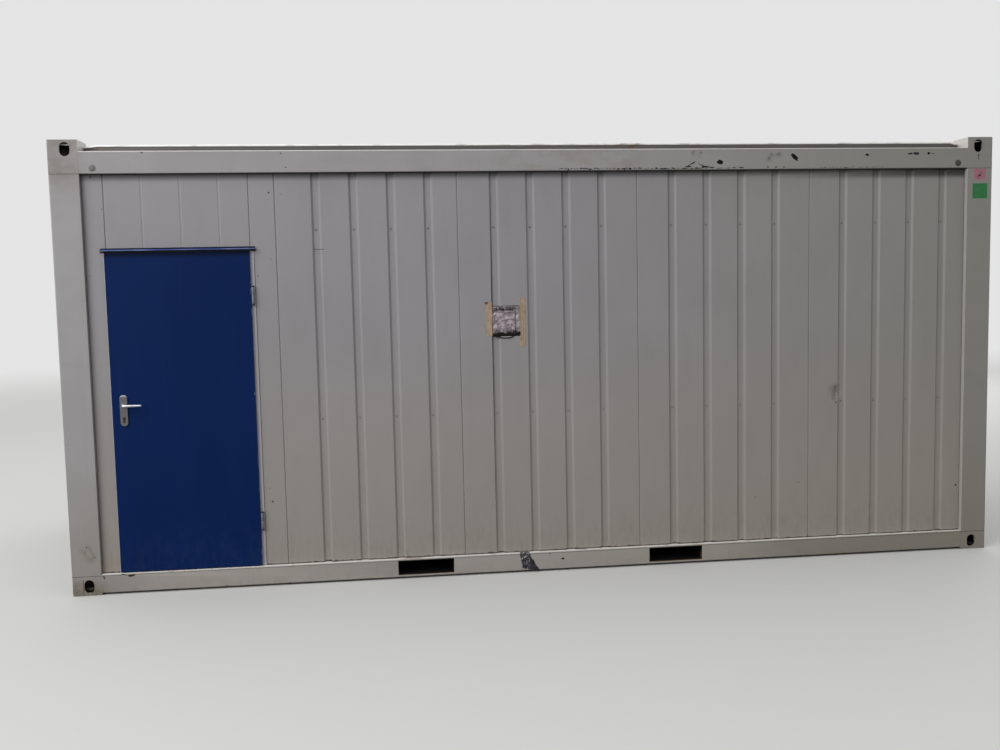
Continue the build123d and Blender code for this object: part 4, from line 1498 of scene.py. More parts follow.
@dataclass
class FrameShell(SubAssembly):
    """Corner castings, posts, rails and what is stuck on or scraped off them.

    Chips and smudges are given by their place along X and Z with width and height in millimetres,
    scrapes by a tilt in degrees too. A jagged run has its start and end along X, its widest and
    tallest flake in millimetres and the gap between flakes. Labels have left, right, low and high.
    """

    wall_end: float = 2.851
    rail_top: float = 2.730
    rail_foot: float = 2.6065
    bead_mm: float = 3.8
    cap_x: float = 2.778
    cap_shift: float = 0.006
    cap_level: float = 2.630
    cap_profile: Table = (
        (21, -1.0), (21, 0.5), (19.5, 1.2), (17, 1.4), (15.5, 2.2), (10, 2.8), (4, 2.9), (0.4, 2.6))
    chips: Table = (
        (-2.667, 0.1165, 58, 22), (-2.714, 0.1235, 46, 7), (-1.676, 0.122, 16, 7), (-2.089, 0.019, 18, 8),
        (-1.700, 0.018, 14, 7), (-0.019, 0.117, 12, 8), (0.066, 0.079, 28, 18), (-2.8355, 0.113, 10, 36),
        (-2.9305, 0.307, 11, 11), (-2.8835, 0.240, 7, 7))
    scrapes: Table = (
        (1.141, 2.643, 50, 38, 20), (1.643, 2.674, 84, 34, 45), (0.952, 2.635, 74, 6, -28),
        (0.966, 2.640, 40, 6, -36), (1.022, 2.625, 78, 7, 22), (1.042, 2.616, 76, 11, 4),
        (0.930, 2.617, 60, 10, 0), (1.464, 2.6105, 18, 8, 0), (1.519, 2.610, 22, 8, 0),
        (1.573, 2.610, 18, 8, 0), (2.146, 2.686, 32, 19, 15), (2.445, 2.692, 44, 14, 0),
        (2.487, 2.693, 48, 21, 5), (2.575, 2.6935, 24, 19, 0), (2.606, 2.693, 26, 6, 0),
        (2.929, 2.681, 20, 9, 0), (2.9293, 2.662, 6, 30, 0), (-2.478, 2.722, 14, 16, 0),
        (-1.652, 2.713, 15, 7, 0), (-1.625, 2.627, 10, 10, 0))
    jagged_runs: Table = ((0.08, 0.90, 44, 15, 9), (0.90, 1.28, 70, 18, -4), (1.82, 2.24, 46, 8, 22))
    label_boxes: Table = ((2.897, 2.981, 2.518, 2.590), (2.890, 2.995, 2.394, 2.494))
    label_smudges: Table = ((2.938, 2.548, 24, 18), (2.950, 2.566, 14, 9), (2.926, 2.535, 12, 9))
    weld_x: float = -2.964
    scrap_fall: tuple[Spot, ...] = (
        (-1.198, 0.1312), (-1.208, 0.1318), (-1.2155, 0.1295), (-1.2196, 0.1235), (-1.2200, 0.105))

    def build(self) -> None:
        """Dresses the frame and adds its small pieces."""
        self.dress(SprayedFramePaint(), "base_castings", "top_castings", "roof_corner_blocks", "corner_posts",
                   "floor_rail_front", "floor_rail_back", "floor_end_rails", "roof_side_rails",
                   "roof_end_rails", edge_mm=1.5)
        self.dress(PocketSteel(), "fork_pockets")
        self.rail_beads()
        self.drain_caps()
        self.chipped_paint()
        self.scraped_rail()
        self.labels()
        self.weld_line()
        self.torn_scrap()

    def rail_beads(self) -> None:
        """The rolled upper edge of the long roof rails, painted light as a highlight."""
        # Much lighter than the frame: a painted highlight of the rolled edge, with painted shade towards the
        # right.
        paint = SprayedFramePaint("#D0CECE", "#D6D4D4", bloom="#AEACA4")
        beads = Piece("roof_rail_beads", Body.CABIN, (paint,), Slot.FRAME)
        for y in (-SIDE + 2.4 * MM, SIDE - 2.4 * MM):
            run = [Vector((x, y, self.rail_top - 2.6 * MM)) for x in (-self.wall_end, 0.0, self.wall_end)]
            beads.swept(run, ellipse(self.bead_mm, self.bead_mm, 12), UP)
        beads.place(self.shop)

    def drain_caps(self) -> None:
        """Domed caps near the ends of the long roof rails."""
        caps = Piece("rail_drain_caps", Body.CABIN, (MouldedCap(),), Slot.PLUG, ("rail_plugs",))
        for x in (-self.cap_x, self.cap_x):
            for y in (-1, 1):
                at = Vector((x + self.cap_shift, y * SIDE, self.cap_level))
                caps.turned(self.cap_profile, at, Vector((0, y, 0)), 32)
        caps.place(self.shop)

    def chipped_paint(self) -> None:
        """Rusty chips in the paint of the front rails and post."""
        chips = Piece("frame_paint_chips", Body.CABIN, (RustyChip(),), Slot.FRAME)
        rng = random.Random(4)
        for x, z, width, height in self.chips:
            chips.flake(rng, (x, -SIDE, z), (width, height), rng.uniform(-20, 20))
        chips.place(self.shop)

    def scraped_rail(self) -> None:
        """Dark scrapes on the front roof rail and the right casting."""
        marks = Piece("roof_rail_scrapes", Body.CABIN, (ScrapedMark(),), Slot.FRAME)
        rng = random.Random(11)
        for x, z, width, height, tilt in self.scrapes:
            marks.flake(rng, (x, -SIDE, z), (width, height), tilt)
        for x, end, widest, tallest, gap in self.jagged_runs:
            while x < end:
                width, height = rng.uniform(6, widest), rng.uniform(0.3, 1.0) * tallest
                at = (x + width * MM / 2, -SIDE, self.rail_foot + rng.uniform(-3, 3) * MM)
                marks.flake(rng, at, (width, height), rng.uniform(-6, 6), least=0.3)
                x += (width * rng.uniform(0.5, 1.0) + rng.uniform(-0.2, 1.0) * gap) * MM
        marks.place(self.shop)

    def labels(self) -> None:
        """Two bare paper labels on the right post."""
        labels = Piece("post_labels", Body.CABIN,
                       (PaperLabel("#98636F", "#A47782"), PaperLabel("#1B6B35", "#317A48"),
                        ScrapedMark("#3F2A2C")))
        cells = 12
        for finish, (left, right, low, high) in enumerate(self.label_boxes):
            rows = []
            for step in range(cells + 1):
                z = low + (high - low) * step / cells
                row = []
                for across in range(cells + 1):
                    x = left + (right - left) * across / cells
                    lift = 0.35 + 0.25 * noise.noise(Vector((x * 60, finish, z * 60)))
                    row.append(Vector((x, -SIDE - lift * MM, z)))
                rows.append(row)
            labels.sheet(rows, 0.3, finish)
        for x, z, width, height in self.label_smudges:
            labels.flake(random.Random(9), (x, -SIDE - 0.6 * MM, z), (width, height), 25, 2)
        labels.place(self.shop)

    def weld_line(self) -> None:
        """The rippled weld down the front of the left base casting."""
        weld = Piece("casting_weld", Body.CABIN, (SprayedFramePaint(),), Slot.FRAME)
        rings = []
        for step in range(36):
            point = Vector((self.weld_x + 0.8 * MM * math.sin(step), -SIDE, 0.004 + step * 2.4 * MM))
            radius = (2.3 + 0.5 * math.sin(step * 2.1)) * MM
            rings.append([point + Vector((x, y, 0)) for x, y in ellipse(radius * 1.5, -radius * 0.6, 10)])
        weld.loft(rings)
        weld.place(self.shop)

    def torn_scrap(self) -> None:
        """A torn scrap of wrapping stuck over the front floor rail."""
        scrap = Piece("torn_wrapping_scrap", Body.CABIN, (TornWrapping(),))
        rng = random.Random(7)
        columns, last = 16, 19
        bend = len(self.scrap_fall)
        ragged = [rng.uniform(-3, 3) * MM for _ in range(columns + 1)]
        rows = []
        for step in range(last + 1):
            share = step / last
            left = -0.218 + 0.017 * share + 2 * MM * math.sin(step * 1.3)
            right = -0.162 + 0.074 * share + 2 * MM * math.sin(step * 0.9)
            row = []
            for column in range(columns + 1):
                across = column / columns
                bottom = 0.030 + (0.007 - 0.030) * across + ragged[column]
                if step < bend:
                    y, z = self.scrap_fall[step]
                else:
                    y, z = -1.2203, 0.105 + (bottom - 0.105) * ((step - bend + 1) / (last + 1 - bend))
                x = left + (right - left) * across
                crease = abs(noise.noise(Vector((x * 40, 3.1, z * 40)))) * 3.2 * MM
                row.append(Vector((x, y - crease, z)))
            rows.append(row)
        scrap.sheet(rows, 0.25)
        scrap.place(self.shop)


@dataclass
class Walls(SubAssembly):
    """Grooved wall panels with their screws and small marks.

    Marks are given by their place along X and Z and their size in millimetres.
    """

    bed: float = 1.179
    end_bed: float = 2.989
    reach: float = 2.8
    end_reach: float = 1.0
    pitch: float = 0.2332
    shift: float = 0.012
    panel_a_end: float = -0.5
    panel_a_grooves: tuple[float, ...] = (-1.4541, -1.2209, -0.9877, -0.7545)
    front_screw_shift: float = -0.004
    screw_levels: tuple[float, ...] = (1.055, 2.247)
    washer: Table = ((7.5, -0.5), (7.5, 0.6), (6.8, 1.0), (4.6, 1.1))
    screw_head: Table = ((4.5, 0.5), (4.5, 3.6), (3.9, 4.2), (0.3, 4.3))
    marks: Table = (
        (-1.739, 2.066, 6), (-1.824, 1.966, 9), (-1.790, 0.539, 13), (-1.807, 0.626, 7), (2.825, 0.445, 15),
        (-2.793, 2.578, 12), (-2.736, 2.386, 8), (1.391, 0.424, 8), (1.692, 0.514, 8), (-1.738, 2.477, 14),
        (-1.667, 2.468, 7), (-2.827, 1.980, 7), (1.954, 1.0446, 13), (1.988, 1.056, 8), (2.214, 1.0524, 8))

    def build(self) -> None:
        """Dresses the panels and adds screws and marks."""
        self.dress(CoilCoatedSheet(), "wall_strip_lock_side", "wall_strip_hinge_side", "wall_over_door",
                   "front_panel_a", "front_panel_b", "front_panel_c", "front_panel_d", "back_wall",
                   "end_walls", edge_mm=1.5)
        self.screws()
        self.spots()

    def grooves(self, reach: float, shift: float) -> list[float]:
        """The groove middles of a wall, without the seams.

        Args:
            reach: How far from the grid's middle they go.
            shift: Middle of the grid.

        Returns:
            Their places along the wall.
        """
        places = [self.pitch * (step + 0.5) for step in range(12) if step % 5 != 2]
        return [shift + side * place for place in places for side in (-1, 1) if place < reach]

    def screws(self) -> None:
        """Painted hexagon screws in the groove beds of all four walls."""
        screws = Piece("wall_screws", Body.CABIN, (CoilCoatedSheet("#757378", "#79777C"),), Slot.WALL)
        back = self.grooves(self.reach, self.shift)
        front = [x for x in back if x > self.panel_a_end] + list(self.panel_a_grooves)
        across = self.grooves(self.end_reach, 0.0)
        places: list[tuple[Vector, Vector]] = []
        for level in self.screw_levels:
            places += [(Vector((x + self.front_screw_shift, -self.bed, level)), OUTWARD) for x in front]
            places += [(Vector((x, self.bed, level)), Vector((0, 1, 0))) for x in back]
            for end in (-1, 1):
                places += [(Vector((end * self.end_bed, y, level)), Vector((end, 0, 0))) for y in across]
        for at, out in places:
            screws.turned(self.washer, at, out, 14)
            screws.turned(self.screw_head, at, out, 6)
        screws.place(self.shop)

    def spots(self) -> None:
        """Small dark spots on the front panels."""
        spots = Piece("wall_spots", Body.CABIN, (RustyChip("#1F1C1B", "#3A312C"),), Slot.WALL)
        rng = random.Random(2)
        for x, z, size in self.marks:
            spots.flake(rng, (x, SHEET_FACE, z), (size, size * rng.uniform(0.8, 1.2)))
        spots.place(self.shop)


@dataclass
class CutOutRepair(SubAssembly):
    """The square cut-out in the front wall, stuffed with foil and taped at both sides.

    A tape strip has its left edge, its width in millimetres, its low and high end, how far it bows
    in millimetres, and 1 where its upper corner curls.
    """

    left: float = -0.365
    right: float = -0.181
    low: float = 1.550
    high: float = 1.746
    recess: float = 0.006
    foil_cells: int = 44
    turned_back: int = 3
    tape_strips: Table = ((-0.411, 47, 1.556, 1.772, 0.0, 1), (-0.1875, 38, 1.480, 1.797, 5.0, 0))

    def build(self) -> None:
        """Adds the foil, the sealant and the tapes."""
        self.foil()
        self.sealant()
        self.tapes()

    def foil(self) -> None:
        """Crumpled foil that fills the hole and turns back along its rim."""
        foil = Piece("crumpled_foil", Body.CABIN, (CrumpledFoil(),), Slot.FOIL, ("foil_patch",),
                     smooth_deg=14)
        count = self.foil_cells
        steps = range(-self.turned_back, count + self.turned_back + 1)
        rows = []
        for i in steps:
            row = []
            for j in steps:
                u, v = min(max(j / count, 0.0), 1.0), min(max(i / count, 0.0), 1.0)
                loose = 3.4 * MM * min(1.0, 12 * min(u, 1 - u, v, 1 - v))
                x = self.left + 0.3 * MM + (self.right - self.left - 0.6 * MM) * u
                x += loose * noise.noise(Vector((j * 0.73, 9.0, i * 0.61)))
                z = self.low + 0.3 * MM + (self.high - self.low - 0.6 * MM) * v
                z += loose * noise.noise(Vector((j * 0.67, 4.0, i * 0.79)))
                fold = noise.turbulence(Vector((x * 26, 0.4, z * 26)), 4, True)
                rim = max(0, -i, i - count, -j, j - count)
                y = SHEET_FACE + self.recess + (9 * fold - 5.5) * MM + 12 * MM * rim
                row.append(Vector((x, max(y, SHEET_FACE + 0.6 * MM), z)))
            rows.append(row)
        foil.sheet(rows, 0.4)
        foil.place(self.shop)

    def sealant(self) -> None:
        """A black band along the bottom of the hole with a run that sags below it."""
        band = Piece("sealant_band", Body.CABIN, (BlackenedSealant(),))
        rng = random.Random(3)
        self.sealant_band(band)
        self.sealant_run(band)
        band.flake(rng, (-0.333, SHEET_FACE - 2 * MM, 1.548), (17, 13), 20)
        for _ in range(14):
            at = (rng.uniform(-0.325, -0.205), SHEET_FACE - 2.2 * MM, self.low + rng.uniform(20, 34) * MM)
            band.flake(rng, at, (rng.uniform(4, 9), rng.uniform(7, 17)), rng.uniform(-30, 30))
        band.place(self.shop)

    def sealant_band(self, band: Piece) -> None:
        """Makes the band with its ragged crest.

        Args:
            band: The piece that gets it.
        """
        rows = []
        for i in range(9):
            row = []
            for j in range(61):
                u, v = j / 60, i / 8
                x = self.left + 1 * MM + (self.right - self.left - 2 * MM) * u
                spikes = 16 * abs(noise.noise(Vector((x * 150, 1.0, 0)))) * math.sin(math.pi * u)
                crest = 20 + 9 * noise.noise(Vector((x * 30, 5.0, 0))) + spikes + 9 * max(0.0, u - 0.8) / 0.2
                bulge = 1.8 * math.sin(math.pi * v) + 1.2 * noise.noise(
                    Vector((x * 50, 2.0, (self.low + 0.5 * MM + crest * v * MM) * 50)))
                row.append(Vector((x, SHEET_FACE - bulge * MM, self.low + 0.5 * MM + crest * v * MM)))
            rows.append(row)
        band.sheet(rows, 5)

    def sealant_run(self, band: Piece) -> None:
        """Makes the run that sags below the hole.

        Args:
            band: The piece that gets it.
        """
        path = []
        for step in range(25):
            share = step / 24
            droop = 1 - abs(2 * share - 1) ** 2.8
            path.append(Vector((-0.332 + 0.112 * share, SHEET_FACE - 3.2 * MM - 1.5 * MM * droop,
                                1.556 - 0.017 * droop)))
        band.swept(path, ellipse(3.0, 2.6, 10), OUTWARD)

    def tapes(self) -> None:
        """Two strips of masking tape, one with a curled corner."""
        tapes = Piece("masking_tapes", Body.CABIN, (MaskingTape(),))
        for left, width, low, high, bow, curl in self.tape_strips:
            rows = []
            for i in range(41):
                v = i / 40
                row = []
                for j in range(9):
                    u = j / 8
                    shift = bow * math.sin(math.pi * v) + 0.8 * noise.noise(Vector((v * 9, left * 50, 0)))
                    x = left + (width * u + shift) * MM
                    z = low + (high - low) * v + 1.5 * MM * noise.noise(Vector((u * 6, left * 30, v)))
                    peel = curl * max(0.0, (v - 0.90) * 10 - u * 0.8)
                    lift = 0.5 + 0.5 * abs(noise.noise(Vector((x * 45, 7.0, z * 45)))) + 9 * peel * peel
                    row.append(Vector((x, SHEET_FACE - lift * MM, z)))
                rows.append(row)
            tapes.sheet(rows, 0.35)
        tapes.place(self.shop)


@dataclass
class DoorSet(SubAssembly):
    """Door leaf, frame, hinges, lock and levers."""

    leaf_front: float = -1.210
    leaf_back: float = -1.165
    leaf_bottom: float = 0.136
    stop_front: float = -1.159
    passage_left: float = -2.701
    passage_right: float = -1.901
    passage_top: float = 2.088
    seal_inset: float = 0.010
    lever_x: float = -2.6635
    lever_level: float = 1.184
    cylinder_level: float = 1.104
    plate: float = 0.009
    plug_out: float = 0.003
    lock_edge: float = -2.715
    lock_middle: float = -1.1825
    lock_screws: tuple[float, ...] = (0.072, -0.137)
    hinge_x: float = -1.856
    hinge_y: float = -1.2045
    hinge_levels: tuple[float, ...] = (0.365, 1.790)
    hinge_height: float = 0.1105
    foot_ring: Table = ((9.4, -4), (9.8, -3), (9.8, 3.5), (9.3, 4.2), (9.3, -3.9))
    top_ring: Table = ((9.3, -4.2), (9.8, -3.5), (9.8, 2.5), (8.6, 4.2), (4, 5.2), (0.3, 5.4))
    edge_chip_place: Place = (-1.8705, -1.210, 1.231)

    def build(self) -> None:
        """Dresses the door set and adds its ironmongery."""
        plates = SatinAnodisedAluminium("#7E7C80", "#6A6666")
        self.dress(PaintedDoorSheet(), "door_leaf", edge_mm=1.5)
        self.dress(PaintedDripRail(), "drip_rail", edge_mm=0.8)
        self.dress(CoilCoatedSheet(), "door_jambs", "door_head", edge_mm=1.0)
        self.dress(BrushedAluminium(), "threshold", "lock_faceplate")
        self.dress(plates, "handle_plates", edge_mm=1.5)
        self.dress(SatinAnodisedAluminium(), "lever_spindle")
        self.dress(NickelledBrass(), "lock_cylinder")
        self.dress(ZincPlatedSteel(), "frame_hinges", "leaf_hinges", edge_mm=0.6)
        self.lever("outside_grip", "outside_lever", self.leaf_front, -1)
        self.lever("inside_grip", "inside_lever", self.leaf_back, 1)
        self.collars(plates)
        self.keyways()
        self.latch()
        self.hinge_rings()
        self.seal()
        self.edge_chip()

    def lever_path(self) -> list[tuple[float, float, float, float]]:
        """The middle line of a lever, out through the neck, round the elbow and along the grip.

        Returns:
            Along the grip, out from the leaf, half height and half thickness, in millimetres.
        """
        path: list[tuple[float, float, float, float]] = [
            (0, 0.4, 9.2, 9.2), (0, 12, 9.2, 9.2), (0, 22, 8.8, 8.8)]
        for step in range(1, 9):
            angle = math.radians(90 * step / 8)
            path.append((15 * (1 - math.cos(angle)), 29 + 15 * math.sin(angle), 8.8, 8.8 - 1.2 * step / 8))
        for step in range(1, 11):
            share = step / 10
            path.append((15 + 94 * share, 44 + 0.6 * math.sin(math.pi * share), 8.8 - 2.6 * share,
                         7.6 - 1.6 * share))
        return path + [(112.5, 44, 5.4, 5.2), (114.6, 44, 3.8, 3.6), (115.6, 44, 1.4, 1.3)]

    def lever(self, name: str, node: str, face: float, out: int) -> None:
        """A tapered lever with a round neck and a soft elbow.

        Args:
            name: Name of the piece.
            node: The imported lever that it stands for.
            face: Face of the leaf that the neck starts from.
            out: Direction away from the leaf along Y, -1 or 1.
        """
        grip = Piece(name, Body.HANDLE, (SatinAnodisedAluminium(),), Slot.HANDLE, (node,))
        path = self.lever_path()
        rings = []
        for index, (x, y, tall, thick) in enumerate(path):
            before, after = path[max(index - 1, 0)], path[min(index + 1, len(path) - 1)]
            tangent = Vector((after[0] - before[0], after[1] - before[1], 0)).normalized()
            side = Vector((tangent.y, -tangent.x, 0))
            ring = []
            for across, up in ellipse(1, 1, 20):
                point = Vector((x, y, 0)) + side * thick * across + Vector((0, 0, tall * up))
                ring.append(Vector((self.lever_x + point.x * MM, face + out * point.y * MM,
                                    self.lever_level + point.z * MM)))
            rings.append(ring)
        grip.loft(rings)
        grip.place(self.shop)

    def collars(self, finish: Finish) -> None:
        """Raised collars round both lever necks, part of the plates.

        Args:
            finish: The finish of the plates.
        """
        collars = Piece("lever_collars", Body.DOOR, (finish,), Slot.HANDLE)
        section = ((9.9, -0.5), (9.9, 3.2), (10.6, 3.8), (12.6, 3.8), (13.6, 3.0), (14.4, 0.6), (14.4, -0.5))
        for face, out in ((self.leaf_front - self.plate, -1), (self.leaf_back + self.plate, 1)):
            rings = []
            for across, up in ellipse(1, 1, 28):
                rings.append([Vector((self.lever_x + radius * across * MM, face + out * height * MM,
                                      self.lever_level + radius * up * MM)) for radius, height in section])
            collars.loft(rings, looped=True)
        collars.place(self.shop)

    def keyways(self) -> None:
        """The turning plug of the lock cylinder with its keyway, on both sides."""
        plugs = Piece("cylinder_keyways", Body.DOOR, (NickelledBrass(), DriedGrease()), Slot.LOCK)
        profile = ((7.0, -1), (7.0, 0.6), (6.4, 1.0), (0.3, 1.0))
        slot = ((-0.8, -4.2), (0.8, -4.2), (0.8, 1.0), (1.5, 2.4), (0.8, 4.0), (-0.8, 4.0), (-1.5, 2.4),
                (-0.8, 1.0))
        reach = self.plate + self.plug_out
        for face, out in ((self.leaf_front - reach, -1), (self.leaf_back + reach, 1)):
            at = Vector((self.lever_x, face, self.cylinder_level))
            plugs.turned(profile, at, Vector((0, out, 0)), 24)
            # The keyway is a thin dark slot in the grease finish: painted shade for its opening.
            plugs.loft([[at + Vector((x, out * depth, z)) * MM for x, z in slot] for depth in (0.5, 1.15)], 1)
        plugs.place(self.shop)

    def latch(self) -> None:
        """The bevelled latch, pushed in to clear the strike, and two screws of the faceplate."""
        latch = Piece("spring_latch", Body.DOOR, (BrushedAluminium(), ZincPlatedSteel()), Slot.SILL)
        foot = ((1, -5), (1, 5), (-1, 5), (-4, 1), (-4, -4), (-2, -5))
        latch.loft([[Vector((self.lock_edge + x * MM, self.lock_middle + y * MM, self.lever_level + z))
                     for x, y in foot] for z in (-0.011, -0.010, 0.010, 0.011)])
        for rise in self.lock_screws:
            at = Vector((self.lock_edge, self.lock_middle, self.lever_level + rise))
            latch.turned(((4.0, -0.2), (3.6, 0.8), (0.3, 1.1)), at, Vector((-1, 0, 0)), 16, 1)
        latch.place(self.shop)

    def hinge_rings(self) -> None:
        """Greasy washers and end caps on both hinges."""
        fixed = Piece("hinge_foot_rings", Body.CABIN, (DriedGrease(),), Slot.HINGE)
        swinging = Piece("hinge_top_rings", Body.DOOR, (DriedGrease(),), Slot.HINGE)
        for level in self.hinge_levels:
            foot = Vector((self.hinge_x, self.hinge_y, level))
            fixed.turned(self.foot_ring, foot, UP, 24)
            head = Vector((self.hinge_x, self.hinge_y, level + self.hinge_height))
            swinging.turned(self.top_ring, head, UP, 24)
        fixed.place(self.shop)
        swinging.place(self.shop)

    def seal(self) -> None:
        """The rubber seal on the stop of the frame."""
        seal = Piece("frame_seal", Body.CABIN, (RubberSeal(),))
        left, right = self.passage_left - self.seal_inset, self.passage_right + self.seal_inset
        top, foot = self.passage_top + self.seal_inset, self.leaf_bottom + 0.004
        spots = ((left, foot), (left, top), (right, top), (right, foot))
        path = [Vector((x, self.stop_front, z)) for x, z in spots]
        section = ((-4, -0.5), (4, -0.5), (4, 1.2), (3.2, 3.0), (1.2, 4.6), (-1.2, 4.6), (-3.2, 3.0), (-4, 1.2))
        seal.swept(path, section, OUTWARD)
        seal.place(self.shop)

    def edge_chip(self) -> None:
        """A chip in the paint at the right edge of the leaf."""
        chip = Piece("leaf_edge_chip", Body.DOOR, (ZincPlatedSteel(),), Slot.DOOR)
        chip.flake(random.Random(5), self.edge_chip_place, (6, 16), 8)
        chip.place(self.shop)


@dataclass
class Roof(SubAssembly):
    """The roof panels with their folded hem and screws."""

    hem_level: float = 2.7675
    hem_section: Table = ((-3.0, -4.5), (2.2, -4.5), (2.8, -3.5), (2.8, 3.6), (1.6, 5.2), (-3.0, 5.2))
    hem_runs: tuple[Table, ...] = (
        ((-2.843, -1.104), (-2.747, -1.174), (2.747, -1.174), (2.843, -1.104)),
        ((2.914, -1.041), (2.984, -0.945), (2.984, 0.945), (2.914, 1.041)))
    rib_pitch: float = 0.333
    rib_top: float = 2.780
    screw_rows: tuple[float, ...] = (-1.05, -0.525, 0.0, 0.525, 1.05)
    washer: Table = ((9, -0.5), (9, 0.8), (7, 1.6), (4.8, 1.8))
    screw_head: Table = ((4.6, 1.0), (4.6, 5.2), (4.0, 5.8), (0.3, 5.9))

    def build(self) -> None:
        """Dresses the roof and adds the hem and the screws."""
        self.dress(GalvanisedRoofSheet(), "roof_panel", "roof_end_panels")
        self.hem()
        self.screws()

    def hem(self) -> None:
        """The folded edge round the roof sheet."""
        hem = Piece("roof_edge_hem", Body.CABIN, (FoldedZincEdge(),), Slot.ZINC)
        for run in self.hem_runs:
            for turn in (1, -1):
                hem.swept([Vector((x * turn, y * turn, self.hem_level)) for x, y in run], self.hem_section, UP)
        hem.place(self.shop)

    def screws(self) -> None:
        """Roofing screws with wide washers on the ribs."""
        screws = Piece("roof_screws", Body.CABIN, (ZincPlatedSteel(),), Slot.ZINC)
        for rib in range(-8, 9):
            for y in self.screw_rows:
                at = Vector((rib * self.rib_pitch, y, self.rib_top))
                screws.turned(self.washer, at, UP, 16)
                screws.turned(self.screw_head, at, UP, 6)
        screws.place(self.shop)


@dataclass
class Inside(SubAssembly):
    """Floor, linings and ceiling, with skirting and cover strips."""

    end: float = 2.931
    side: float = 1.121
    floor: float = 0.155
    ceiling: float = 2.500
    door_sides: Spot = (-2.750, -1.852)
    skirting: Table = ((-0.5, 0), (10, 0), (10, 46), (7, 52), (-0.5, 52))
    cover_strip: Table = ((-0.5, 0.5), (16, 0.5), (14, -6), (6, -14), (-0.5, -16))

    def build(self) -> None:
        """Dresses the inside and adds its trims."""
        self.dress(SheetVinyl(), "floor_covering")
        self.dress(Chipboard(), "floor_board")
        self.dress(CoatedLiningBoard(), "front_lining", "lining_over_door", "back_lining", "end_linings",
                   "ceiling_board")
        self.dress(GalvanisedRoofSheet(), "underfloor_sheet", "floor_joists")
        self.trims()

    def trims(self) -> None:
        """A skirting that stops at the door frame and a cover strip under the ceiling."""
        trims = Piece("room_trims", Body.CABIN, (CoatedLiningBoard(),), Slot.LINING)
        room = [(-self.end, -self.side), (-self.end, self.side), (self.end, self.side), (self.end, -self.side)]
        lock_side, hinge_side = ((x, -self.side) for x in self.door_sides)
        walk = [lock_side, *room, hinge_side]
        trims.swept([Vector((x, y, self.floor)) for x, y in walk], self.skirting, UP)
        trims.swept([Vector((x, y, self.ceiling)) for x, y in room], self.cover_strip, UP, looped=True)
        trims.place(self.shop)


@dataclass(frozen=True)
class StudioCamera:
    """A camera that stands and points as the photograph's did."""

    place: Place = (-0.9994, -7.2683, 1.8011)
    yaw_deg: float = 6.3713
    pitch_deg: float = -4.6782
    roll_deg: float = 1.2280
    focal_px: float = 950.0
    width_px: float = 1000.0
    sensor_mm: float = 36.0

    def build(self) -> None:
        """Makes the camera and gives it to the scene."""
        yaw, pitch, roll = (math.radians(angle) for angle in (self.yaw_deg, self.pitch_deg, self.roll_deg))
        ahead = Vector((math.sin(yaw) * math.cos(pitch), math.cos(yaw) * math.cos(pitch), math.sin(pitch)))
        right = ahead.cross(UP).normalized()
        down = ahead.cross(right)
        rolled_right = right * math.cos(roll) + down * math.sin(roll)
        rolled_down = down * math.cos(roll) - right * math.sin(roll)
        turn = Matrix((rolled_right, -rolled_down, -ahead)).transposed().to_4x4()
        lens = bpy.data.cameras.new("camera")
        lens.sensor_width = self.sensor_mm
        lens.lens = self.focal_px * self.sensor_mm / self.width_px
        camera = add_object("camera", lens)
        camera.matrix_world = Matrix.Translation(self.place) @ turn
        bpy.context.scene.camera = camera


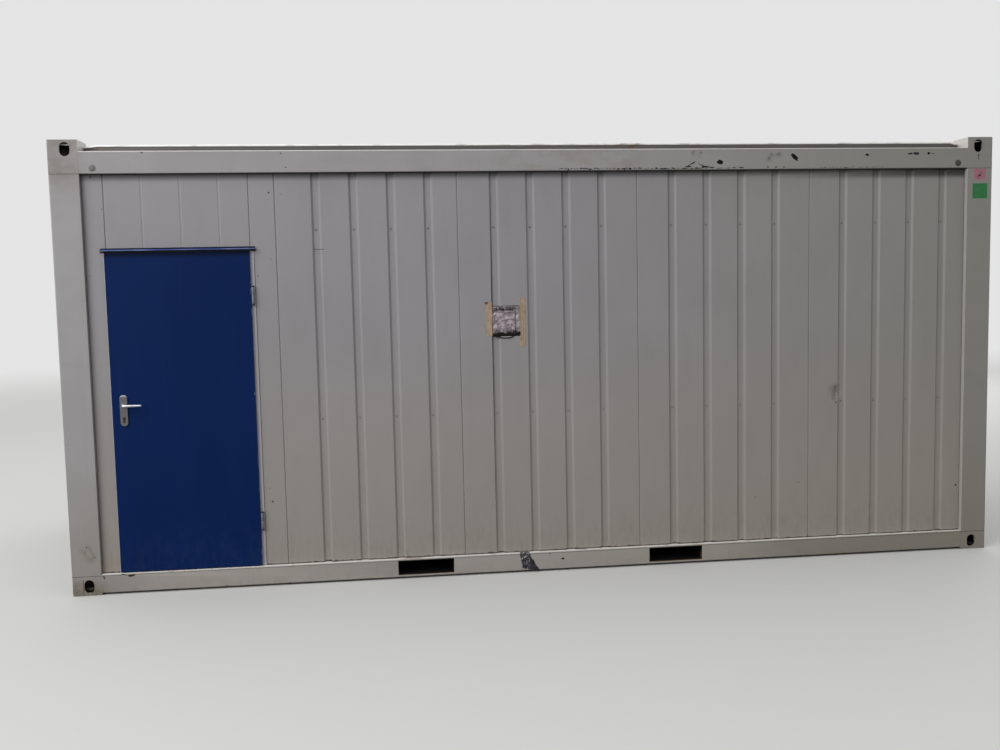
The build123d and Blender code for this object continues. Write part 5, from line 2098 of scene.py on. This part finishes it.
@dataclass(frozen=True)
class Studio:
    """A pale floor and surround, with light as under an even cloud and two wide soft lamps."""

    floor_colour: str = "#C2C2C0"
    floor_bounce: str = "#7E7E7C"
    floor_radius: float = 60.0
    floor_drop: float = 0.0005
    fade_start: float = 9.0
    fade_end: float = 26.0
    backdrop: float = 0.78
    horizon: float = 0.40
    zenith: float = 1.20
    left_share: float = 0.20
    lamp_size: float = 9.0
    lamp_aim: Place = (0, 0, 1.3)
    key_place: Place = (-10.0, -8.5, 8.0)
    key_power: float = 1100.0
    fill_place: Place = (8.0, 10.0, 8.0)
    fill_power: float = 450.0
    white: tuple[float, float, float, float] = (1, 1, 1, 1)

    def build(self) -> None:
        """Makes the floor, the world and the lamps."""
        bpy.context.scene.view_settings.view_transform = "Standard"
        self.floor()
        self.world()
        self.lamp("key", self.key_place, self.key_power)
        self.lamp("fill", self.fill_place, self.fill_power)

    def floor(self) -> None:
        """A wide pale floor that fades into the backdrop far away."""
        mesh = bpy.data.meshes.new("studio_floor")
        plate = bmesh.new()
        bmesh.ops.create_circle(plate, cap_ends=True, segments=96, radius=self.floor_radius)
        plate.to_mesh(mesh)
        plate.free()
        ground = Surface("studio_floor")
        reach = add_node(ground.tree, "ShaderNodeVectorMath", {0: ground.place}, operation="LENGTH")
        far = ground.between(reach.outputs["Value"], self.fade_start, self.fade_end)
        eye = add_node(ground.tree, "ShaderNodeLightPath").outputs["Is Camera Ray"]
        matt = add_node(ground.tree, "ShaderNodeBsdfDiffuse",
                        {"Color": ground.coats(self.floor_bounce, (self.floor_colour, eye))})
        glow = add_node(ground.tree, "ShaderNodeEmission", {"Color": self.white, "Strength": self.backdrop})
        mixed = add_node(ground.tree, "ShaderNodeMixShader",
                         {0: ground.overlap(far, eye), 1: matt.outputs[0], 2: glow.outputs[0]})
        add_node(ground.tree, "ShaderNodeOutputMaterial", {"Surface": mixed.outputs[0]})
        mesh.materials.append(ground.material)
        made = add_object("studio_floor", mesh)
        made.location.z = -self.floor_drop

    def world(self) -> None:
        """A pale surround for the eye, and for the object one that is brighter above and to the left."""
        world = bpy.data.worlds.new("surround")
        bpy.context.scene.world = world
        world.use_nodes = True
        tree = world.node_tree
        tree.nodes.clear()
        path = add_node(tree, "ShaderNodeLightPath")
        seen: Any = path.outputs["Is Camera Ray"]
        for ray in ("Is Glossy Ray", "Is Transmission Ray"):
            seen = add_node(tree, "ShaderNodeMath", {0: seen, 1: path.outputs[ray]},
                            operation="MAXIMUM").outputs[0]
        way = add_node(tree, "ShaderNodeTexCoord").outputs["Generated"]
        axes = add_node(tree, "ShaderNodeSeparateXYZ", {"Vector": way})
        sky = add_node(tree, "ShaderNodeMapRange", {"Value": axes.outputs["Z"], "From Min": 0.0,
                                                    "To Min": self.horizon, "To Max": self.zenith})
        side = add_node(tree, "ShaderNodeMapRange", {"Value": axes.outputs["X"], "From Min": -1.0,
                                                     "To Min": 1 + self.left_share,
                                                     "To Max": 1 - self.left_share})
        both = add_node(tree, "ShaderNodeMath", {0: sky.outputs["Result"], 1: side.outputs["Result"]},
                        operation="MULTIPLY")
        lit = add_node(tree, "ShaderNodeBackground", {"Color": self.white, "Strength": both.outputs[0]})
        shown = add_node(tree, "ShaderNodeBackground", {"Color": self.white, "Strength": self.backdrop})
        mixed = add_node(tree, "ShaderNodeMixShader", {0: seen, 1: lit.outputs[0], 2: shown.outputs[0]})
        add_node(tree, "ShaderNodeOutputWorld", {"Surface": mixed.outputs[0]})

    def lamp(self, name: str, place: Place, power: float) -> None:
        """A square soft lamp that points at the middle of the cabin.

        Args:
            name: Name of the lamp.
            place: Where it hangs.
            power: Its power in watts.
        """
        light = bpy.data.lights.new(name, "AREA")
        light.energy = power
        light.size = self.lamp_size
        lamp = add_object(name, light)
        lamp.location = place
        lamp.rotation_euler = (Vector(self.lamp_aim) - Vector(place)).to_track_quat("-Z", "Y").to_euler()


def main() -> None:
    """Builds the scene."""
    logging.basicConfig(level=logging.INFO, format="%(name)s: %(message)s")
    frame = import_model()
    StudioCamera().build()
    Studio().build()
    shop = PaintShop()
    for assembly in (FrameShell, Walls, CutOutRepair, DoorSet, Roof, Inside):
        LOG.info("building %s", assembly.__name__)
        assembly(shop, frame["nodes"]).build()


if __name__ == "__main__":
    main()
